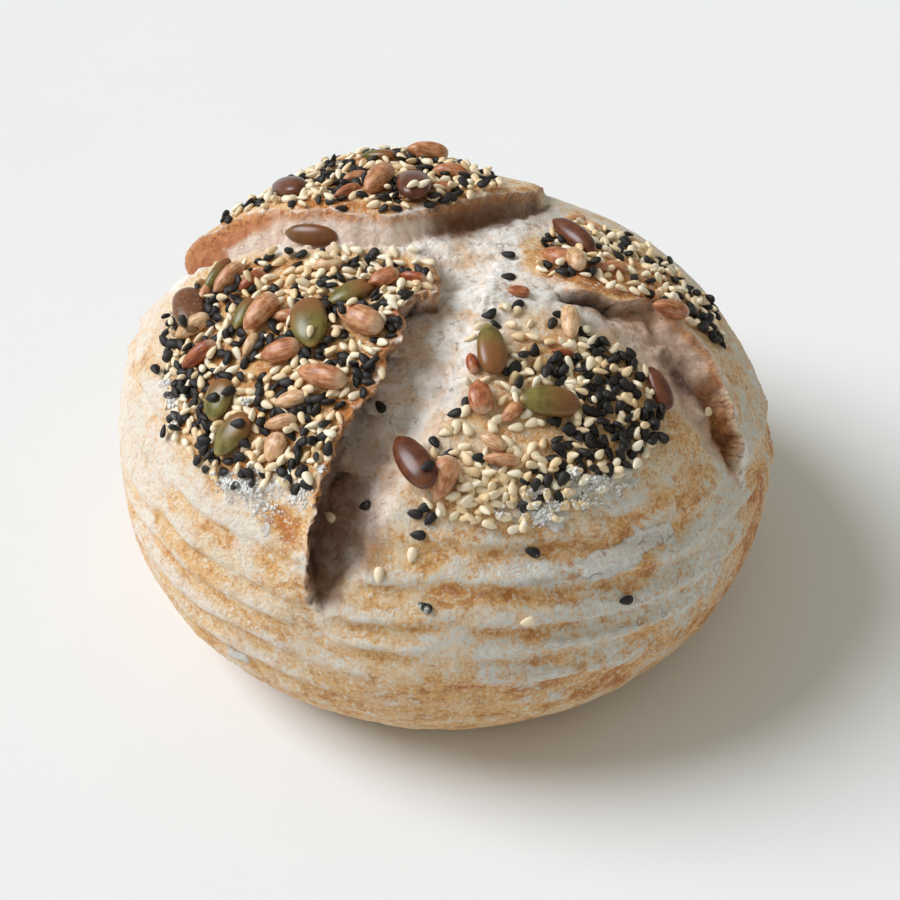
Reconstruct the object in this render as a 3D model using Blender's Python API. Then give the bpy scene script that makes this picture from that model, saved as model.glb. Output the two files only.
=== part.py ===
"""A round loaf that opened in the oven along a crossed cut, with seeds baked onto its crust.

Units are metres and +Z is up. The origin is the middle of the flat base, and the loaf's
front is towards -Y. The crust is a smooth dome that is described by a flat map: a point of
the map is as far from the map's middle as the crust's point is from the top, measured along
the crust. The cuts and the four lobes between them are drawn on that map.
"""
import math
import random

import bpy
import numpy as np
from mathutils import Matrix, Vector
from mathutils.bvhtree import BVHTree

# Driving dimensions of the loaf
LOAF_RADIUS = 0.0750
WIDEST_HEIGHT = 0.0313
DOME_HEIGHT = 0.0545
BELLY_DEPTH = 0.0484
BASE_ROUNDING = 0.0030

# Torn edges of the lobes on the flat map, from the outer end of a cut towards the middle
FRONT_LEFT_LIP = [
    (-0.0335, -0.0840), (-0.0300, -0.0675), (-0.0240, -0.0510), (-0.0190, -0.0400),
    (-0.0125, -0.0300), (-0.0080, -0.0170), (-0.0030, -0.0060),
]
FRONT_LEFT_BACK = [
    (-0.0035, -0.0010), (-0.0085, 0.0025), (-0.0320, 0.0090), (-0.0600, 0.0140), (-0.1050, 0.0260),
]
FRONT_LEFT_OUTSIDE = [(-0.170, 0.060), (-0.200, -0.060), (-0.120, -0.180), (-0.060, -0.150)]
BACK_LIP = [
    (-0.0930, 0.0700), (-0.0740, 0.0410), (-0.0650, 0.0300), (-0.0460, 0.0300), (-0.0320, 0.0210),
    (-0.0120, 0.0130), (-0.0030, 0.0165), (0.0110, 0.0245), (0.0195, 0.0325), (0.0235, 0.0440),
    (0.0300, 0.0900),
]
BACK_OUTSIDE = [(0.050, 0.150), (0.000, 0.220), (-0.160, 0.160)]
RIGHT_LIP = [
    (0.0220, -0.0030), (0.0320, -0.0064), (0.0400, -0.0060), (0.0470, -0.0034), (0.0540, -0.0056),
    (0.0600, -0.0104), (0.0645, -0.0165), (0.0694, -0.0267), (0.0768, -0.0346),
]
RIGHT_OUTSIDE = [(0.150, -0.070), (0.220, 0.060), (0.070, 0.135), (0.030, 0.045), (0.020, 0.002)]

# How high the lobes stand and how deep the cuts opened, against the smooth dome
LOBE_RISE = 0.0012
LEFT_SHOULDER = 0.0036
TORN_LIP_RISE = 0.0017
BACK_LIP_RISE = 0.0062
BACK_LIP_LEFT_EXTRA = 0.0024
BACK_SWELL = 0.0080
RIGHT_LIP_RISE = 0.0015
FRONT_CUT_DEPTH = 0.0100
FRONT_CUT_SHALLOW = 0.0022
FRONT_CUT_WIDTH = 0.0150
LEFT_CUT_DEPTH = 0.0075
RIGHT_CUT_DEPTH = 0.0060
PLATEAU_DEPTH = 0.0024
PLATEAU_SIZE = (0.015, 0.037)
FALL_BEYOND_LIP = 0.0120

# How far the shapes of the lobes reach, measured on the map
LIP_CURL = 0.006
RIGHT_LIP_CURL = 0.005
BACK_LIP_CURL = 0.016
BACK_SWELL_MIDDLE = (-0.022, 0.050)
BACK_SWELL_SIZE = (0.034, 0.030)
SHOULDER_REACH = (0.015, 0.062)
SHOULDER_BACK = (-0.038, 0.008)
LOBE_FADE = (0.086, 0.108)
BACK_FADE = (0.088, 0.116)

# Slopes of the torn walls, measured on the map
TORN_WALL = 0.0026
BACK_WALL = 0.0050
BACK_WALL_LEFT_EXTRA = 0.0060
LEFT_BACK_WALL = 0.0055
RIGHT_WALL_EXTRA = 0.0078

# Mesh of the crust
COLUMNS = 80
TOP_ROWS = 30
SIDE_ROWS = 10
TOP_REACH = 0.090
SIDE_ROW_GROWTH = 1.13
CUT_DIRECTIONS = [(-17.0, 1.6), (-113.0, 0.6), (153.0, 1.0), (64.0, 0.3)]
CUT_SPREAD = 17.0
SLIDE_SHARE = 0.42
SLIDE_REST = 0.0001
SLIDE_LIMIT = 0.098
SLOPE_STEP = 0.0002
LEVEL_CELL = 0.0006

# Seeds: length, width and thickness, number of sides and of rings
PUMPKIN = (0.0125, 0.0072, 0.0032, 6, 3)
KERNEL = (0.0100, 0.0050, 0.0036, 6, 3)
SESAME = (0.0034, 0.0021, 0.0016, 5, 2)

# Seeded patches on the map: middle, half length, half width, turn in degrees,
# and how many pumpkin seeds, kernels and sesame seeds each one carries
PATCHES = {
    "front_left": ((-0.0380, -0.0200), 0.031, 0.024, 22.0, 6, 9, 22),
    "back": ((-0.0200, 0.0350), 0.033, 0.012, -6.0, 5, 6, 14),
    "right": ((0.0420, 0.0110), 0.025, 0.013, -2.0, 2, 5, 16),
    "front": ((0.0220, -0.0400), 0.027, 0.022, -28.0, 4, 5, 20),
}
SEED_SINK = 0.30
SEED_SPACING = 0.62
PLACING_TRIES = 4000

CRUST_COLOUR = (0.60, 0.36, 0.17, 1.0)
CRUST_ROUGHNESS = 0.85


def clear_scene():
    """Remove every object that the file starts with."""
    for item in list(bpy.data.objects):
        bpy.data.objects.remove(item)


def smooth_step(low, high, value):
    """Go from 0 at low to 1 at high with level ends."""
    share = np.clip((value - low) / (high - low), 0.0, 1.0)
    return share * share * (3.0 - 2.0 * share)


def bell(distance, width):
    """A rounded bump of height 1 that fades over its width."""
    return np.exp(-(distance / width) ** 2)


def distance_to_line(u, v, corners, closed=False):
    """Distance to a line on the map, and how far along the line its nearest point lies."""
    best = np.full(np.shape(u), np.inf)
    share = np.zeros(np.shape(u))
    ends = corners[1:] + corners[:1] if closed else corners[1:]
    lengths = [math.dist(start, end) for start, end in zip(corners, ends)]
    walked = 0.0
    for (start_u, start_v), (end_u, end_v), length in zip(corners, ends, lengths):
        step_u = end_u - start_u
        step_v = end_v - start_v
        along = ((u - start_u) * step_u + (v - start_v) * step_v) / length ** 2
        along = np.clip(along, 0.0, 1.0)
        distance = np.hypot(u - start_u - along * step_u, v - start_v - along * step_v)
        nearer = distance < best
        best = np.where(nearer, distance, best)
        share = np.where(nearer, (walked + along * length) / sum(lengths), share)
        walked += length
    return best, share


def inside_outline(u, v, corners):
    """True where a map point lies inside a closed outline."""
    inside = np.zeros(np.shape(u), bool)
    for (start_u, start_v), (end_u, end_v) in zip(corners, corners[1:] + corners[:1]):
        if start_v == end_v:
            continue
        spans = (start_v > v) != (end_v > v)
        crossing = start_u + (end_u - start_u) * (v - start_v) / (end_v - start_v)
        inside ^= spans & (u < crossing)
    return inside


def depth_inside(u, v, corners):
    """Distance to a closed outline, positive inside it and negative outside."""
    distance, _ = distance_to_line(u, v, corners, closed=True)
    return np.where(inside_outline(u, v, corners), distance, -distance)


def dome_profile():
    """The crust's half section from the top to the middle of the base, and its length."""
    lean = np.linspace(0.0, math.pi, 1201)
    rise = np.where(lean < math.pi / 2, DOME_HEIGHT, BELLY_DEPTH)
    radius = LOAF_RADIUS * np.sin(lean)
    height = WIDEST_HEIGHT + rise * np.cos(lean)
    steps = np.hypot(np.diff(radius), np.diff(height))
    return lean, radius, height, np.concatenate([[0.0], np.cumsum(steps)])


LEAN, RADIUS, HEIGHT, ALONG = dome_profile()


def front_left_lobe(u, v, reach):
    """Height of the front left lobe, with its torn lip and its shoulder, and how far out a point is."""
    inside = depth_inside(u, v, FRONT_LEFT_LIP + FRONT_LEFT_BACK + FRONT_LEFT_OUTSIDE)
    to_lip, along_lip = distance_to_line(u, v, FRONT_LEFT_LIP)
    to_back, _ = distance_to_line(u, v, FRONT_LEFT_BACK)
    on_lip = smooth_step(-0.003, 0.003, to_back - to_lip)
    shoulder = smooth_step(*SHOULDER_REACH, -u) * smooth_step(*SHOULDER_BACK, v)
    body = LOBE_RISE + LEFT_SHOULDER * shoulder * (1.0 - smooth_step(0.072, 0.104, reach))
    lift = TORN_LIP_RISE * smooth_step(0.0, 0.25, along_lip) * on_lip + LOBE_RISE * (1.0 - on_lip)
    top = body + lift * np.exp(-np.maximum(inside, 0.0) / LIP_CURL)
    top = top * (1.0 - smooth_step(*LOBE_FADE, reach))
    wall = TORN_WALL * on_lip + LEFT_BACK_WALL * (1.0 - on_lip)
    outside = np.maximum(-inside, 0.0)
    fallen = top - (top + FALL_BEYOND_LIP) * smooth_step(0.0, 1.0, outside / wall)
    return np.where(inside > 0.0, top, fallen), inside, along_lip


def back_lobe(u, v, reach):
    """Height of the raised back lobe with its sloping torn wall."""
    inside = depth_inside(u, v, BACK_LIP + BACK_OUTSIDE)
    _, along_lip = distance_to_line(u, v, BACK_LIP)
    left = 1.0 - smooth_step(0.28, 0.62, along_lip)
    ends = smooth_step(0.18, 0.27, along_lip) * (1.0 - smooth_step(0.64, 0.94, along_lip))
    fade = 1.0 - smooth_step(*BACK_FADE, reach)
    lip = (BACK_LIP_RISE + BACK_LIP_LEFT_EXTRA * left) * ends * fade
    swell = bell(u - BACK_SWELL_MIDDLE[0], BACK_SWELL_SIZE[0])
    swell = BACK_SWELL * swell * bell(v - BACK_SWELL_MIDDLE[1], BACK_SWELL_SIZE[1]) * fade
    near_lip = np.exp(-np.maximum(inside, 0.0) / BACK_LIP_CURL)
    wall = BACK_WALL + BACK_WALL_LEFT_EXTRA * left
    outside = np.maximum(-inside, 0.0)
    fallen = lip - (lip + FALL_BEYOND_LIP) * np.clip(outside / wall, 0.0, 1.0)
    return np.where(inside > 0.0, lip * near_lip + swell * (1.0 - near_lip), fallen), inside


def right_lobe(u, v, floor):
    """Height with the right lobe, whose lip lifts over the right cut and melts into the crust behind."""
    inside = depth_inside(u, v, RIGHT_LIP + RIGHT_OUTSIDE)
    to_lip, along_lip = distance_to_line(u, v, RIGHT_LIP)
    torn = smooth_step(0.0, 0.12, along_lip) * (1.0 - smooth_step(0.68, 0.94, along_lip))
    torn = torn * smooth_step(-0.013, 0.001, -v) * smooth_step(0.025, 0.020, to_lip)
    top = LOBE_RISE + RIGHT_LIP_RISE * torn * np.exp(-np.maximum(inside, 0.0) / RIGHT_LIP_CURL)
    wide = smooth_step(0.25, 0.42, along_lip) * (1.0 - 0.3 * smooth_step(0.62, 0.80, along_lip))
    wall = TORN_WALL + RIGHT_WALL_EXTRA * wide
    outside = np.maximum(-inside, 0.0)
    fallen = top - FALL_BEYOND_LIP * smooth_step(0.0, 1.0, outside / wall)
    raised = np.maximum(floor, np.where(inside > 0.0, top, fallen))
    return floor + (raised - floor) * smooth_step(0.0, 0.8, torn)


def open_floor(u, v, reach, front_inside, front_along):
    """Depth of the crumb in the front and left cuts and on the plateau between them."""
    to_tip = 1.0 - front_along
    width = FRONT_CUT_WIDTH * (1.0 - 0.5 * smooth_step(0.75, 1.0, to_tip))
    depth = FRONT_CUT_SHALLOW + (FRONT_CUT_DEPTH - FRONT_CUT_SHALLOW) * smooth_step(0.1, 0.5, to_tip)
    depth = depth * smooth_step(0.0, 0.14, front_along)
    in_front = smooth_step(-0.006, 0.003, -(v + 0.1 * u)) * (u < 0.030)
    rise = np.clip(1.0 - np.maximum(-front_inside, 0.0) / width, 0.0, 1.0)
    trench = -depth * rise ** 1.3 * in_front
    across = (u - 0.010) * 0.85 - (v - 0.010) * 0.53
    along = (u - 0.010) * 0.53 + (v - 0.010) * 0.85
    plateau = -PLATEAU_DEPTH * bell(across, PLATEAU_SIZE[0]) * bell(along, PLATEAU_SIZE[1])
    gully = smooth_step(0.004, 0.022, -u) * smooth_step(-0.004, 0.004, v + 0.16 * u + 0.003)
    gully = -LEFT_CUT_DEPTH * gully * (1.0 - smooth_step(0.078, 0.104, reach))
    return plateau + np.minimum(trench, gully)


def right_cut(u, v):
    """Depth of the cut between the front and the right lobes."""
    inside = depth_inside(u, v, RIGHT_LIP + RIGHT_OUTSIDE)
    _, along_lip = distance_to_line(u, v, RIGHT_LIP)
    width = 0.005 + 0.0095 * smooth_step(0.30, 0.55, along_lip) - 0.009 * smooth_step(0.75, 1.0, along_lip)
    ends = smooth_step(0.0, 0.10, along_lip) * (1.0 - smooth_step(0.68, 0.94, along_lip))
    south = smooth_step(-0.006, 0.002, -v) * smooth_step(0.014, 0.024, u)
    rise = np.clip(1.0 - np.maximum(-inside, 0.0) / width, 0.0, 1.0)
    return -RIGHT_CUT_DEPTH * rise ** 0.8 * ends * south


def relief(u, v):
    """How far the real crust and crumb stand off the smooth dome."""
    reach = np.hypot(u, v)
    front_left, front_inside, front_along = front_left_lobe(u, v, reach)
    back, back_inside = back_lobe(u, v, reach)
    floor = open_floor(u, v, reach, front_inside, front_along) + right_cut(u, v)
    height = np.where(front_inside > 0.0, front_left, np.maximum(floor, front_left))
    height = right_lobe(u, v, height)
    return np.where(back_inside > 0.0, back, np.maximum(height, back))


def slide_to_lips(u, v):
    """Slide the mesh's points that are close to a torn edge onto it, so that the edge stays clean."""
    for outline in (
        FRONT_LEFT_LIP + FRONT_LEFT_BACK + FRONT_LEFT_OUTSIDE,
        RIGHT_LIP + RIGHT_OUTSIDE,
        BACK_LIP + BACK_OUTSIDE,
    ):
        inside = depth_inside(u, v, outline)
        slope_u = (depth_inside(u + SLOPE_STEP, v, outline) - inside) / SLOPE_STEP
        slope_v = (depth_inside(u, v + SLOPE_STEP, outline) - inside) / SLOPE_STEP
        cell = np.minimum(TOP_REACH / TOP_ROWS, 2.0 * math.pi * np.hypot(u, v) / COLUMNS)
        near = np.abs(inside) < SLIDE_SHARE * cell
        slide = np.where(near & (np.hypot(u, v) < SLIDE_LIMIT), SLIDE_REST - inside, 0.0)
        u = u + slide * slope_u
        v = v + slide * slope_v
    return u, v


def settle(height):
    """Round the crust's foot into a flat base."""
    share = np.clip((height + BASE_ROUNDING) / (2.0 * BASE_ROUNDING), 0.0, 1.0)
    return np.where(height > BASE_ROUNDING, height, BASE_ROUNDING * share ** 2)


def crust_point(reach, turn):
    """Place of the crust at a distance from the top, measured along the dome, and a turn about Z.

    The fourth value is the relief there, against the smooth dome.
    """
    u, v = slide_to_lips(reach * np.cos(turn), reach * np.sin(turn))
    reach = np.hypot(u, v)
    turn = np.arctan2(v, u)
    lean = np.interp(reach, ALONG, LEAN)
    radius = np.interp(reach, ALONG, RADIUS)
    height = np.interp(reach, ALONG, HEIGHT)
    rise = np.where(lean < math.pi / 2, DOME_HEIGHT, BELLY_DEPTH)
    normal_out = np.sin(lean) / LOAF_RADIUS
    normal_up = np.cos(lean) / rise
    size = np.hypot(normal_out, normal_up)
    offset = relief(u, v)
    radius = radius + offset * normal_out / size
    height = settle(height + offset * normal_up / size)
    return radius * np.cos(turn), radius * np.sin(turn), height, offset


def column_turns():
    """Turns of the mesh's columns about Z, closer together where a cut runs outwards."""
    fine = np.linspace(-180.0, 180.0, 3601)
    density = np.ones(fine.shape)
    for direction, extra in CUT_DIRECTIONS:
        density += extra * bell((fine - direction + 180.0) % 360.0 - 180.0, CUT_SPREAD)
    filled = np.concatenate([[0.0], np.cumsum(0.5 * (density[1:] + density[:-1]))])
    wanted = np.linspace(0.0, filled[-1], COLUMNS, endpoint=False)
    return np.radians(np.interp(wanted, filled, fine))


def split_cell(cell, offsets):
    """A level cell whole, or two triangles that meet where the relief changes least.

    That keeps the torn edges straight.
    """
    first, second, third, fourth = cell
    heights = [offsets[corner] for corner in cell]
    if max(heights) - min(heights) < LEVEL_CELL:
        return [cell]
    if abs(offsets[first] - offsets[third]) < abs(offsets[second] - offsets[fourth]):
        return [(first, second, third), (first, third, fourth)]
    return [(first, second, fourth), (second, third, fourth)]


def make_crust():
    """The bare loaf as one closed mesh of rings round the top and a flat base."""
    reach_of_base = float(ALONG[np.argmax(HEIGHT < -BASE_ROUNDING)])
    rows = list(np.linspace(0.0, TOP_REACH, TOP_ROWS + 1)[1:])
    side_steps = np.cumsum(SIDE_ROW_GROWTH ** np.arange(SIDE_ROWS))
    rows += list(TOP_REACH + (reach_of_base - TOP_REACH) * side_steps / side_steps[-1])
    turns = column_turns()
    top = [float(value) for value in crust_point(np.array(0.0), 0.0)]
    corners = [tuple(top[:3])]
    offsets = [top[3]]
    for reach in rows:
        x, y, z, offset = crust_point(np.full(COLUMNS, reach), turns)
        corners += list(zip(x.tolist(), y.tolist(), z.tolist()))
        offsets += offset.tolist()
    faces = []
    for column in range(COLUMNS):
        following = (column + 1) % COLUMNS
        faces.append((0, 1 + column, 1 + following))
        for row in range(len(rows) - 1):
            upper = 1 + row * COLUMNS
            lower = upper + COLUMNS
            cell = (upper + column, lower + column, lower + following, upper + following)
            faces += split_cell(cell, offsets)
    last = 1 + (len(rows) - 1) * COLUMNS
    faces.append(tuple(last + column for column in reversed(range(COLUMNS))))
    mesh = bpy.data.meshes.new("loaf")
    mesh.from_pydata(corners, [], faces)
    mesh.update()
    return mesh


def make_seed(name, length, width, thickness, sides, rings):
    """A plump seed that narrows towards one end, lying along X."""
    corners = [(-length / 2.0, 0.0, 0.0)]
    for ring in range(1, rings + 1):
        lean = math.pi * ring / (rings + 1)
        place = -math.cos(lean)
        girth = math.sin(lean) * (1.0 - 0.22 * place)
        for side in range(sides):
            turn = 2.0 * math.pi * side / sides
            corners.append((
                place * length / 2.0,
                girth * math.cos(turn) * width / 2.0,
                girth * math.sin(turn) * thickness / 2.0,
            ))
    corners.append((length / 2.0, 0.0, 0.0))
    tip = len(corners) - 1
    faces = []
    for side in range(sides):
        following = (side + 1) % sides
        faces.append((0, 1 + following, 1 + side))
        for ring in range(rings - 1):
            near = 1 + ring * sides
            far = near + sides
            faces.append((near + side, near + following, far + following, far + side))
        last = 1 + (rings - 1) * sides
        faces.append((last + side, last + following, tip))
    mesh = bpy.data.meshes.new(name)
    mesh.from_pydata(corners, [], faces)
    mesh.update()
    return mesh


def place_on_crust(tree, u, v):
    """The crust's point and outward normal below a map point."""
    reach = math.hypot(u, v)
    turn = math.atan2(v, u)
    radius = float(np.interp(reach, ALONG, RADIUS))
    height = float(np.interp(reach, ALONG, HEIGHT))
    outside = Vector((radius * math.cos(turn), radius * math.sin(turn), height))
    heart = Vector((0.0, 0.0, 0.4 * WIDEST_HEIGHT))
    away = (outside - heart).normalized()
    spot, normal, _, _ = tree.ray_cast(outside + away * 0.05, -away)
    return spot, normal


def scatter_seeds(tree, seeds):
    """Lay the seeds patch by patch, the largest first, each clear of those before it."""
    draw = random.Random(11)
    meshes = {
        "pumpkin": make_seed("pumpkin_seed", *PUMPKIN),
        "kernel": make_seed("kernel", *KERNEL),
        "sesame": make_seed("sesame", *SESAME),
    }
    sizes = {"pumpkin": PUMPKIN, "kernel": KERNEL, "sesame": SESAME}
    for middle, half_length, half_width, turn, pumpkins, kernels, sesames in PATCHES.values():
        laid = []
        kinds = ["pumpkin"] * pumpkins + ["kernel"] * kernels + ["sesame"] * sesames
        cosine = math.cos(math.radians(turn))
        sine = math.sin(math.radians(turn))
        for kind in kinds:
            length, width, thickness = sizes[kind][:3]
            for _ in range(PLACING_TRIES):
                along = draw.uniform(-1.0, 1.0)
                across = draw.uniform(-1.0, 1.0)
                if along ** 2 + across ** 2 > 1.0:
                    continue
                u = middle[0] + along * half_length * cosine - across * half_width * sine
                v = middle[1] + along * half_length * sine + across * half_width * cosine
                room = SEED_SPACING * length
                if all(math.dist((u, v), other) > room + other_room for other, other_room in laid):
                    break
            else:
                continue
            spot, normal = place_on_crust(tree, u, v)
            laid.append(((u, v), 0.5 * SEED_SPACING * length))
            upright = normal.to_track_quat("Z", "Y").to_matrix().to_4x4()
            spin = Matrix.Rotation(draw.uniform(0.0, 2.0 * math.pi), 4, "Z")
            raised = spot + normal * thickness * (0.5 - SEED_SINK)
            seed = bpy.data.objects.new(kind, meshes[kind])
            seed.matrix_world = Matrix.Translation(raised) @ upright @ spin
            seeds.objects.link(seed)


def keep_largest_shell(mesh):
    """Fill hollows and drop scraps that fusing left, by keeping the outer shell alone."""
    neighbours = [[] for _ in mesh.vertices]
    for edge in mesh.edges:
        first, second = edge.vertices
        neighbours[first].append(second)
        neighbours[second].append(first)
    unseen = set(range(len(mesh.vertices)))
    largest = set()
    while unseen:
        start = unseen.pop()
        shell = {start}
        edge_of_shell = [start]
        while edge_of_shell:
            corner = edge_of_shell.pop()
            for other in neighbours[corner]:
                if other in unseen:
                    unseen.discard(other)
                    shell.add(other)
                    edge_of_shell.append(other)
        if len(shell) > len(largest):
            largest = shell
    renumber = {old: new for new, old in enumerate(sorted(largest))}
    corners = [tuple(mesh.vertices[old].co) for old in sorted(largest)]
    faces = []
    for face in mesh.polygons:
        if face.vertices[0] in largest:
            faces.append([renumber[corner] for corner in face.vertices])
    kept = bpy.data.meshes.new("loaf")
    kept.from_pydata(corners, [], faces)
    kept.update()
    return kept


def crust_material():
    """Baked crust, golden tan and dull."""
    material = bpy.data.materials.new("crust")
    material.use_nodes = True
    shader = material.node_tree.nodes["Principled BSDF"]
    shader.inputs["Base Color"].default_value = CRUST_COLOUR
    shader.inputs["Roughness"].default_value = CRUST_ROUGHNESS
    shader.inputs["Metallic"].default_value = 0.0
    return material


def make_loaf():
    """The loaf with its seeds fused on, as one closed body."""
    loaf = bpy.data.objects.new("loaf", make_crust())
    bpy.context.collection.objects.link(loaf)
    seeds = bpy.data.collections.new("seeds")
    bpy.context.scene.collection.children.link(seeds)
    tree = BVHTree.FromPolygons(
        [corner.co for corner in loaf.data.vertices],
        [face.vertices[:] for face in loaf.data.polygons],
    )
    scatter_seeds(tree, seeds)
    fuse = loaf.modifiers.new("fuse_seeds", "BOOLEAN")
    fuse.operation = "UNION"
    fuse.operand_type = "COLLECTION"
    fuse.collection = seeds
    fuse.solver = "EXACT"
    evaluated = loaf.evaluated_get(bpy.context.evaluated_depsgraph_get())
    fused = bpy.data.meshes.new_from_object(evaluated)
    loaf.modifiers.remove(fuse)
    loaf.data = keep_largest_shell(fused)
    for seed in list(seeds.objects):
        bpy.data.objects.remove(seed)
    bpy.data.collections.remove(seeds)
    loaf.data.materials.append(crust_material())
    loaf.data.shade_smooth()
    loaf.data.set_sharp_from_angle(angle=math.radians(40.0))
    return loaf


clear_scene()
make_loaf()
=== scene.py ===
"""The look of a round seeded loaf on a pale floor, in soft light from behind on the left.

The loaf's crust and torn crumb are one fine mesh that follows a flat map of the dome: a point of
the map is as far from the map's middle as the crust's point is from the top, measured along the
crust. The map's u axis runs to the right (+X) and its v axis to the back (+Y). Lengths on the map
and in the relief are millimetres, and the finished meshes are in metres.
"""

import math
import random
from types import SimpleNamespace

import bpy
import numpy as np
from mathutils import Matrix, Vector
from mathutils.bvhtree import BVHTree


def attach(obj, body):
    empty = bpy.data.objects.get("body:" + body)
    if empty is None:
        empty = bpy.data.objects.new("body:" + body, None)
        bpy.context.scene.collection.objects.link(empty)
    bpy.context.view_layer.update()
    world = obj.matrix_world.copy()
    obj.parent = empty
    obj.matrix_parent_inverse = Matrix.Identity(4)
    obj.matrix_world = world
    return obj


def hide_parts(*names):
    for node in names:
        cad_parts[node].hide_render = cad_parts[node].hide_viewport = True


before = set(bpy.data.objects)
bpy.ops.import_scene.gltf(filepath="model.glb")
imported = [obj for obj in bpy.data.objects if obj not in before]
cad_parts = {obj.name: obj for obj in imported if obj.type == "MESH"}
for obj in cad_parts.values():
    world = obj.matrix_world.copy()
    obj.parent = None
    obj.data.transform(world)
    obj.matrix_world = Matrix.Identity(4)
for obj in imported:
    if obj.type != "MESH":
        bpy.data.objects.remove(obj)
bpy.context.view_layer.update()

MM = 0.001

# The smooth dome
LOAF_RADIUS = 75
WIDEST_HEIGHT = 31.3
DOME_HEIGHT = 54.5
BELLY_DEPTH = 48.4
BASE_ROUNDING = 3
PROFILE_STEPS = 2001

# Camera and the photograph's frame
FRAME_PIXELS = 900
PIXELS_PER_MM = 4.30
CAMERA_DISTANCE = 520
CAMERA_ELEVATION = 42.5
CAMERA_TARGET_HEIGHT = 38
LOAF_MIDDLE_PIXEL = (445.9, 426.5)

# The light's direction, in degrees from -X towards +Y and above the floor, its width in degrees,
# its strength and colour, and those of the surround
LIGHT_TURN = 10
LIGHT_ELEVATION = 42.8
LIGHT_WIDTH = 36
LIGHT_STRENGTH = 2.96
LIGHT_COLOUR = (0.975, 0.995, 1.045)
SURROUND_COLOUR = (1.06, 1.03, 0.88, 1)
SURROUND_STRENGTH = 0.35

# Half the floor's side and the nearest shown distance, in metres
FLOOR_HALF = 2.5
CLIP_START = 0.01

# Edges of the lobes on the map: torn lips, backs, and corners well outside the loaf that close them
FRONT_LEFT_LIP = [
    (-32.5, -82), (-33, -75.5), (-30.4, -67.5), (-27.4, -60.2), (-25.5, -53), (-22.8, -49.9),
    (-22.6, -44.9), (-19.9, -41.2), (-15.5, -37.3), (-13.6, -33.7), (-13.2, -28.1), (-9.2, -23.8),
    (-9.3, -18.6), (-6.8, -12.8), (-2.9, -10.7), (-2.4, -5.6),
]
FRONT_LEFT_BACK = [
    (-3.3, -1), (-8, 2.5), (-18.5, 5.2), (-32, 9), (-45, 12), (-60, 13.5), (-80, 17), (-105, 24),
]
FRONT_LEFT_OUTSIDE = [(-170, 60), (-200, -60), (-120, -180), (-60, -150)]
BACK_LIP = [
    (-92, 72), (-80, 52), (-71, 38), (-64, 30), (-57, 29.5), (-46, 30), (-32, 21), (-22, 15.5),
    (-12, 13), (-3, 16.5), (11, 24.5), (17, 29), (21, 35), (23, 43), (24, 52), (26, 65), (30, 90),
]
BACK_OUTSIDE = [(50, 150), (0, 220), (-160, 160)]
RIGHT_LIP = [
    (22, -3), (26, -4.6), (31.4, -6.3), (36.7, -7.2), (41, -5.3), (45.3, -3), (53.8, -5.6),
    (60.7, -10.4), (64.6, -15.8), (69.4, -26.7), (76.8, -34.6),
]
RIGHT_OUTSIDE = [(150, -70), (220, 60), (120, 160), (70, 135), (45, 75), (30, 45), (22, 15), (20, 2)]
RIGHT_RIDGE = [(47, -11), (54, -15), (59, -21), (62, -26)]
RIGHT_CUT_BORDER = [
    (67, -29.6), (61.6, -24.7), (57, -27), (50, -22), (43.6, -16.5), (34, -13), (28, -10), (16, -11),
]
FRONT_CUT_BORDER = [
    (13, -15), (10.5, -24), (5, -34), (-1, -43), (-8, -52), (-13, -60), (-21, -70), (-28, -78),
]
MIDDLE_BORDER = [(26, 37), (21, 24), (14, 13), (13, 3), (18, -2)]

# Outline of the torn crumb, which follows the back lobe's lip over this many of its corners
BACK_LIP_CORNERS = 13
CRUMB = FRONT_LEFT_LIP + FRONT_LEFT_BACK + BACK_LIP[:BACK_LIP_CORNERS] + MIDDLE_BORDER
CRUMB += RIGHT_LIP + RIGHT_CUT_BORDER + FRONT_CUT_BORDER

# Seeded patches on the map
SEEDED = {
    "front_left": [
        (0, -6), (-2, -12), (-5.5, -21), (-9, -30), (-13, -38), (-19, -46), (-23, -52), (-36, -54),
        (-48, -50), (-58, -41), (-65, -30), (-67, -12), (-63, 4), (-50, 11), (-32, 8), (-18, 4), (-6, 1),
    ],
    "back": [
        (-54, 32), (-45, 31), (-32, 20.5), (-22, 14.4), (-11, 11.6), (-2, 14.6), (8, 23), (15, 31),
        (10, 42), (-2, 50), (-18, 54), (-36, 52), (-50, 44),
    ],
    "right": [
        (13, 5), (24, -2), (36, -5), (44, -1), (54, -4), (63, -7), (67, -3), (64, 12), (56, 24),
        (44, 32), (30, 28), (22, 16),
    ],
    "front": [
        (-6, -52), (-2, -42), (5, -30), (6, -18), (14, -13), (26, -14), (40, -17), (49, -27),
        (48, -38), (42, -47), (30, -58), (16, -64), (4, -64), (-4, -60),
    ],
}

# Widths on the map of the walls under the torn lips of the front left and right lobes
LEFT_WALL = 3
RIGHT_WALL = 1.6

# The proving basket's rings: heights of the grooves at the left of the loaf
RING_HEIGHTS = [51, 43.3, 35, 28.4, 20.6, 13, 5.5]

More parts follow.
